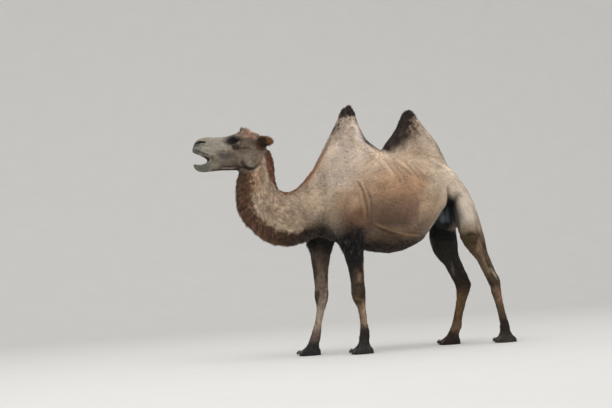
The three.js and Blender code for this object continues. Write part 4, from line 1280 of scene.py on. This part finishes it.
elbows = patch((-0.10, 0.97), (0.13, 0.11), 1.3, 0.5) * (z < 1.10)
elbows = np.maximum(elbows, 0.8 * patch((-0.44, 0.94), (0.05, 0.09), 1.3, 0.5) * (z < 1.02))
belly = close_to([(-0.38, 1.02), (-0.2, 0.93), (0.2, 0.885), (0.6, 0.93)], 0.04, 0.01)
fringes = np.maximum(elbows, belly * 0.7 * (np.abs(y) < 0.25))
hanging = leaning(0.1, -0.5)
long_hair("hair_fringes", 15000, fringes, hanging, 0.055, 0.0022, 0.024, curls_height, gather=0.75, tone=0.55)


def crown_height(P):
    """The forelock stands up in two tufts between the eyes and the ears."""
    front, back = blob(P, (-0.955, 1.94), (0.025, 0.05)), blob(P, (-0.885, 1.91), (0.035, 0.03))
    return 0.008 + 0.007 * front + 0.009 * back


crown = patch((-0.91, 1.925), (0.11, 0.040), 1.3, 0.6) * 1.4
crown *= 0.5 + patch((-0.95, 1.94), (0.05, 0.04), 1.2, 0.5)
crown += step(x, 1.08, 1.10) * (np.abs(y) < 0.05) * step(z, 1.1, 0.95) * 2  # the tail's tassel
loose = {"gather": 0.7, "tone": 0.42, "ragged": 0.5}
long_hair("hair_crown_tail", 6000, crown, leaning(0, 0.1), 0.055, 0.0018, 0.014, crown_height, **loose)


def ear_height(P):
    return np.full(len(P), 0.016)


loose = {"gather": 0.7, "tone": 0.55, "ragged": 0.6}
long_hair("hair_ears", 5000, ear_share(middles), lie, 0.055, 0.0018, 0.011, ear_height, **loose)

# Long dark lashes shade each eye from above.
LASHES = 700
lids = np.zeros(len(middles))
for centre in EYE_CENTRES.values():
    away = middles - centre
    above = step(away[:, 2], 0.003, 0.008) * step(away[:, 2], 0.016, 0.012) * (np.abs(away[:, 1]) > 0.008)
    lids = np.maximum(lids, (np.linalg.norm(away, axis=1) < 0.0275) * above)
seeds = roots(LASHES, lids)
way = unit(seeds[1] * 0.8 + np.array([0.25, 0, -0.45]))
lashes = {"gather": 0.5, "tone": 0.2, "joints": 3}
tufts("hair_lashes", seeds, way, np.full(LASHES, 0.017), 0.0006, 0.1, "coat_dark", 0.006, **lashes)

# ---------------------------------------------------------------- eyes
# A wet dark-brown ball with a bulging cornea, a brown iris and the camel's level oval pupil.

IRIS = 0.62  # the angle from the gaze to the iris's rim
PUPIL = 0.36
BULGE = 0.0011

wet, tree, place = plain_material("wet_eye")
shaded, _ = with_marks(tree, place, [(900.0, 2.0, 0.8, 1.2)])
film = {"Coat Weight": 0.15, "Coat Roughness": 0.05}
shader(wet, {"Roughness": 0.25, "Specular IOR Level": 0.2, **film}, Base_Color=(shaded, 0))

for name, side in (("left", -1), ("right", 1)):
    bm = bmesh.new()
    bmesh.ops.create_uvsphere(bm, u_segments=48, v_segments=32, radius=EYE_RADIUS)
    gaze = Vector((-0.34, side * 0.93, 0.02)).normalized()
    bmesh.ops.rotate(bm, verts=bm.verts, matrix=gaze.to_track_quat("Z", "X").to_matrix())
    colours = []
    for vert in bm.verts:
        direction = vert.co.normalized()
        angle = direction.angle(gaze)
        vert.co += direction * BULGE * max(0.0, 1 - (angle / IRIS) ** 2)
        off = direction - gaze * direction.dot(gaze)
        level = math.hypot(off.z * 2.1, math.hypot(off.x, off.y))
        colours.append(linear("#070505" if level < PUPIL else "#25170e" if angle < IRIS else "#120c09"))
    bmesh.ops.translate(bm, verts=bm.verts, vec=Vector(EYE_CENTRES[name]))
    mesh = bpy.data.meshes.new("eyeball_" + name)
    bm.to_mesh(mesh)
    bm.free()
    shade_smooth(mesh)
    paint(mesh, np.array(colours))
    mesh.materials.append(wet)
    ball = placed("eyeball_" + name, mesh)
    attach(ball, "root")
    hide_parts("eye_" + name)

# ---------------------------------------------------------------- nails, teeth and tongue
# Small hard and wet parts, each rounded off from its solid.


def rounded(name, nodes, voxel, times, material):
    """One piece in place of the nodes, with their edges rounded off."""
    mesh = modified(fused(nodes, 0.0), "REMESH", mode="VOXEL", voxel_size=voxel)
    mesh = modified(mesh, "SMOOTH", factor=0.5, iterations=times)
    shade_smooth(mesh)
    mesh.materials.clear()
    mesh.materials.append(material)
    piece = placed(name, mesh)
    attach(piece, "root")
    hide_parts(*nodes)


def simple(name, low, high, scale, bump, settings):
    """A material that wanders between two colours, with bump of a depth in metres."""
    material, tree, place = plain_material(name)
    noise = add(tree, "ShaderNodeTexNoise", {"Scale": scale, "Detail": 4.0}, Vector=(place, "Object"))
    ramp = add(tree, "ShaderNodeMix", {"data_type": "RGBA"}, Factor=(noise, "Fac"))
    ramp.inputs[6].default_value = (*linear(low), 1)
    ramp.inputs[7].default_value = (*linear(high), 1)
    height = add(tree, "ShaderNodeBump", {"Strength": 0.6, "Distance": bump}, Height=(noise, "Fac"))
    shader(material, settings, Base_Color=(ramp, 2), Normal=(height, 0))
    return material


horn = simple("nail_horn", "#1f1a16", "#4a4038", 160.0, 0.0008, {"Roughness": 0.55})
enamel = simple("tooth_enamel", "#b9a878", "#ddd2ad", 120.0, 0.0003, {"Roughness": 0.3, "Coat Weight": 0.4})
moist = {"Roughness": 0.35, "Subsurface Weight": 0.15}
flesh = simple("moist_tongue", "#7a4a44", "#9c6a62", 300.0, 0.0006, moist)
rounded("nails", [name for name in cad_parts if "_nail_" in name], 0.002, 4, horn)
rounded("teeth", ["lower_teeth"], 0.0012, 3, enamel)
rounded("mouth_tongue", ["tongue"], 0.002, 6, flesh)

# ---------------------------------------------------------------- floor, light and camera
# A pale studio floor that curves up far behind, soft light from above as under a bright overcast sky.

FLOOR_FRONT, FLOOR_BACK = -14, 8
BEND = 8  # the radius of the floor's curve
FLOOR_HALF = 26
FLOOR_LEVEL = -0.0005

turns = [math.pi / 2 * i / 24 for i in range(1, 25)]
rows = [(FLOOR_FRONT, 0), (FLOOR_BACK, 0)]
rows += [(FLOOR_BACK + BEND * math.sin(turn), BEND - BEND * math.cos(turn)) for turn in turns]
rows += [(FLOOR_BACK + BEND, 2 * BEND)]
bm = bmesh.new()
strips = [[bm.verts.new((x, y, z + FLOOR_LEVEL)) for x in (-FLOOR_HALF, FLOOR_HALF)] for y, z in rows]
for a, b in zip(strips[:-1], strips[1:]):
    bm.faces.new((a[0], a[1], b[1], b[0]))
floor_mesh = bpy.data.meshes.new("floor")
bm.to_mesh(floor_mesh)
bm.free()
shade_smooth(floor_mesh)
floor_mesh.materials.append(simple("studio_paper", "#d9d6d0", "#dedbd5", 3.0, 0.0005, {"Roughness": 0.9}))
placed("floor", floor_mesh)

world = bpy.data.worlds.new("sky")
world.use_nodes = True
sky = world.node_tree.nodes["Background"].inputs
sky["Color"].default_value = (*linear("#f4f6fa"), 1)
sky["Strength"].default_value = 0.85
bpy.context.scene.world = world


def aimed(item, place, aim, tilt=0.0):
    """Puts the item at a place, looking at its aim, tilted by some degrees."""
    item.location = place
    item.rotation_mode = "QUATERNION"
    view = (Vector(aim) - Vector(place)).to_track_quat("-Z", "Y")
    item.rotation_quaternion = view @ Quaternion((0, 0, 1), math.radians(tilt))


def lamp(name, place, aim, size, power):
    """A soft square light that many metres across, with its power in watts."""
    light = bpy.data.lights.new(name, "AREA")
    light.size, light.energy = size, power
    item = placed(name, light)
    aimed(item, place, aim)


lamp("sky_panel", (-1.5, -2.0, 8.0), (0, 0, 1.2), 6.0, 260)
lamp("front_panel", (-5.0, -8.0, 5.0), (0, 0, 1.2), 4.0, 120)

# A long lens low down, ten metres away and a little in front of the camel, tilted by a few degrees.
lens = bpy.data.cameras.new("camera")
lens.sensor_width, lens.lens = 36.0, 70.59
lens.clip_end = 100
camera = placed("camera", lens)
aimed(camera, (-3.545, -9.739, 0.6), (-0.4254, 0.0, 1.2950), -3.5445)
bpy.context.scene.camera = camera
bpy.context.scene.view_settings.view_transform = "Standard"
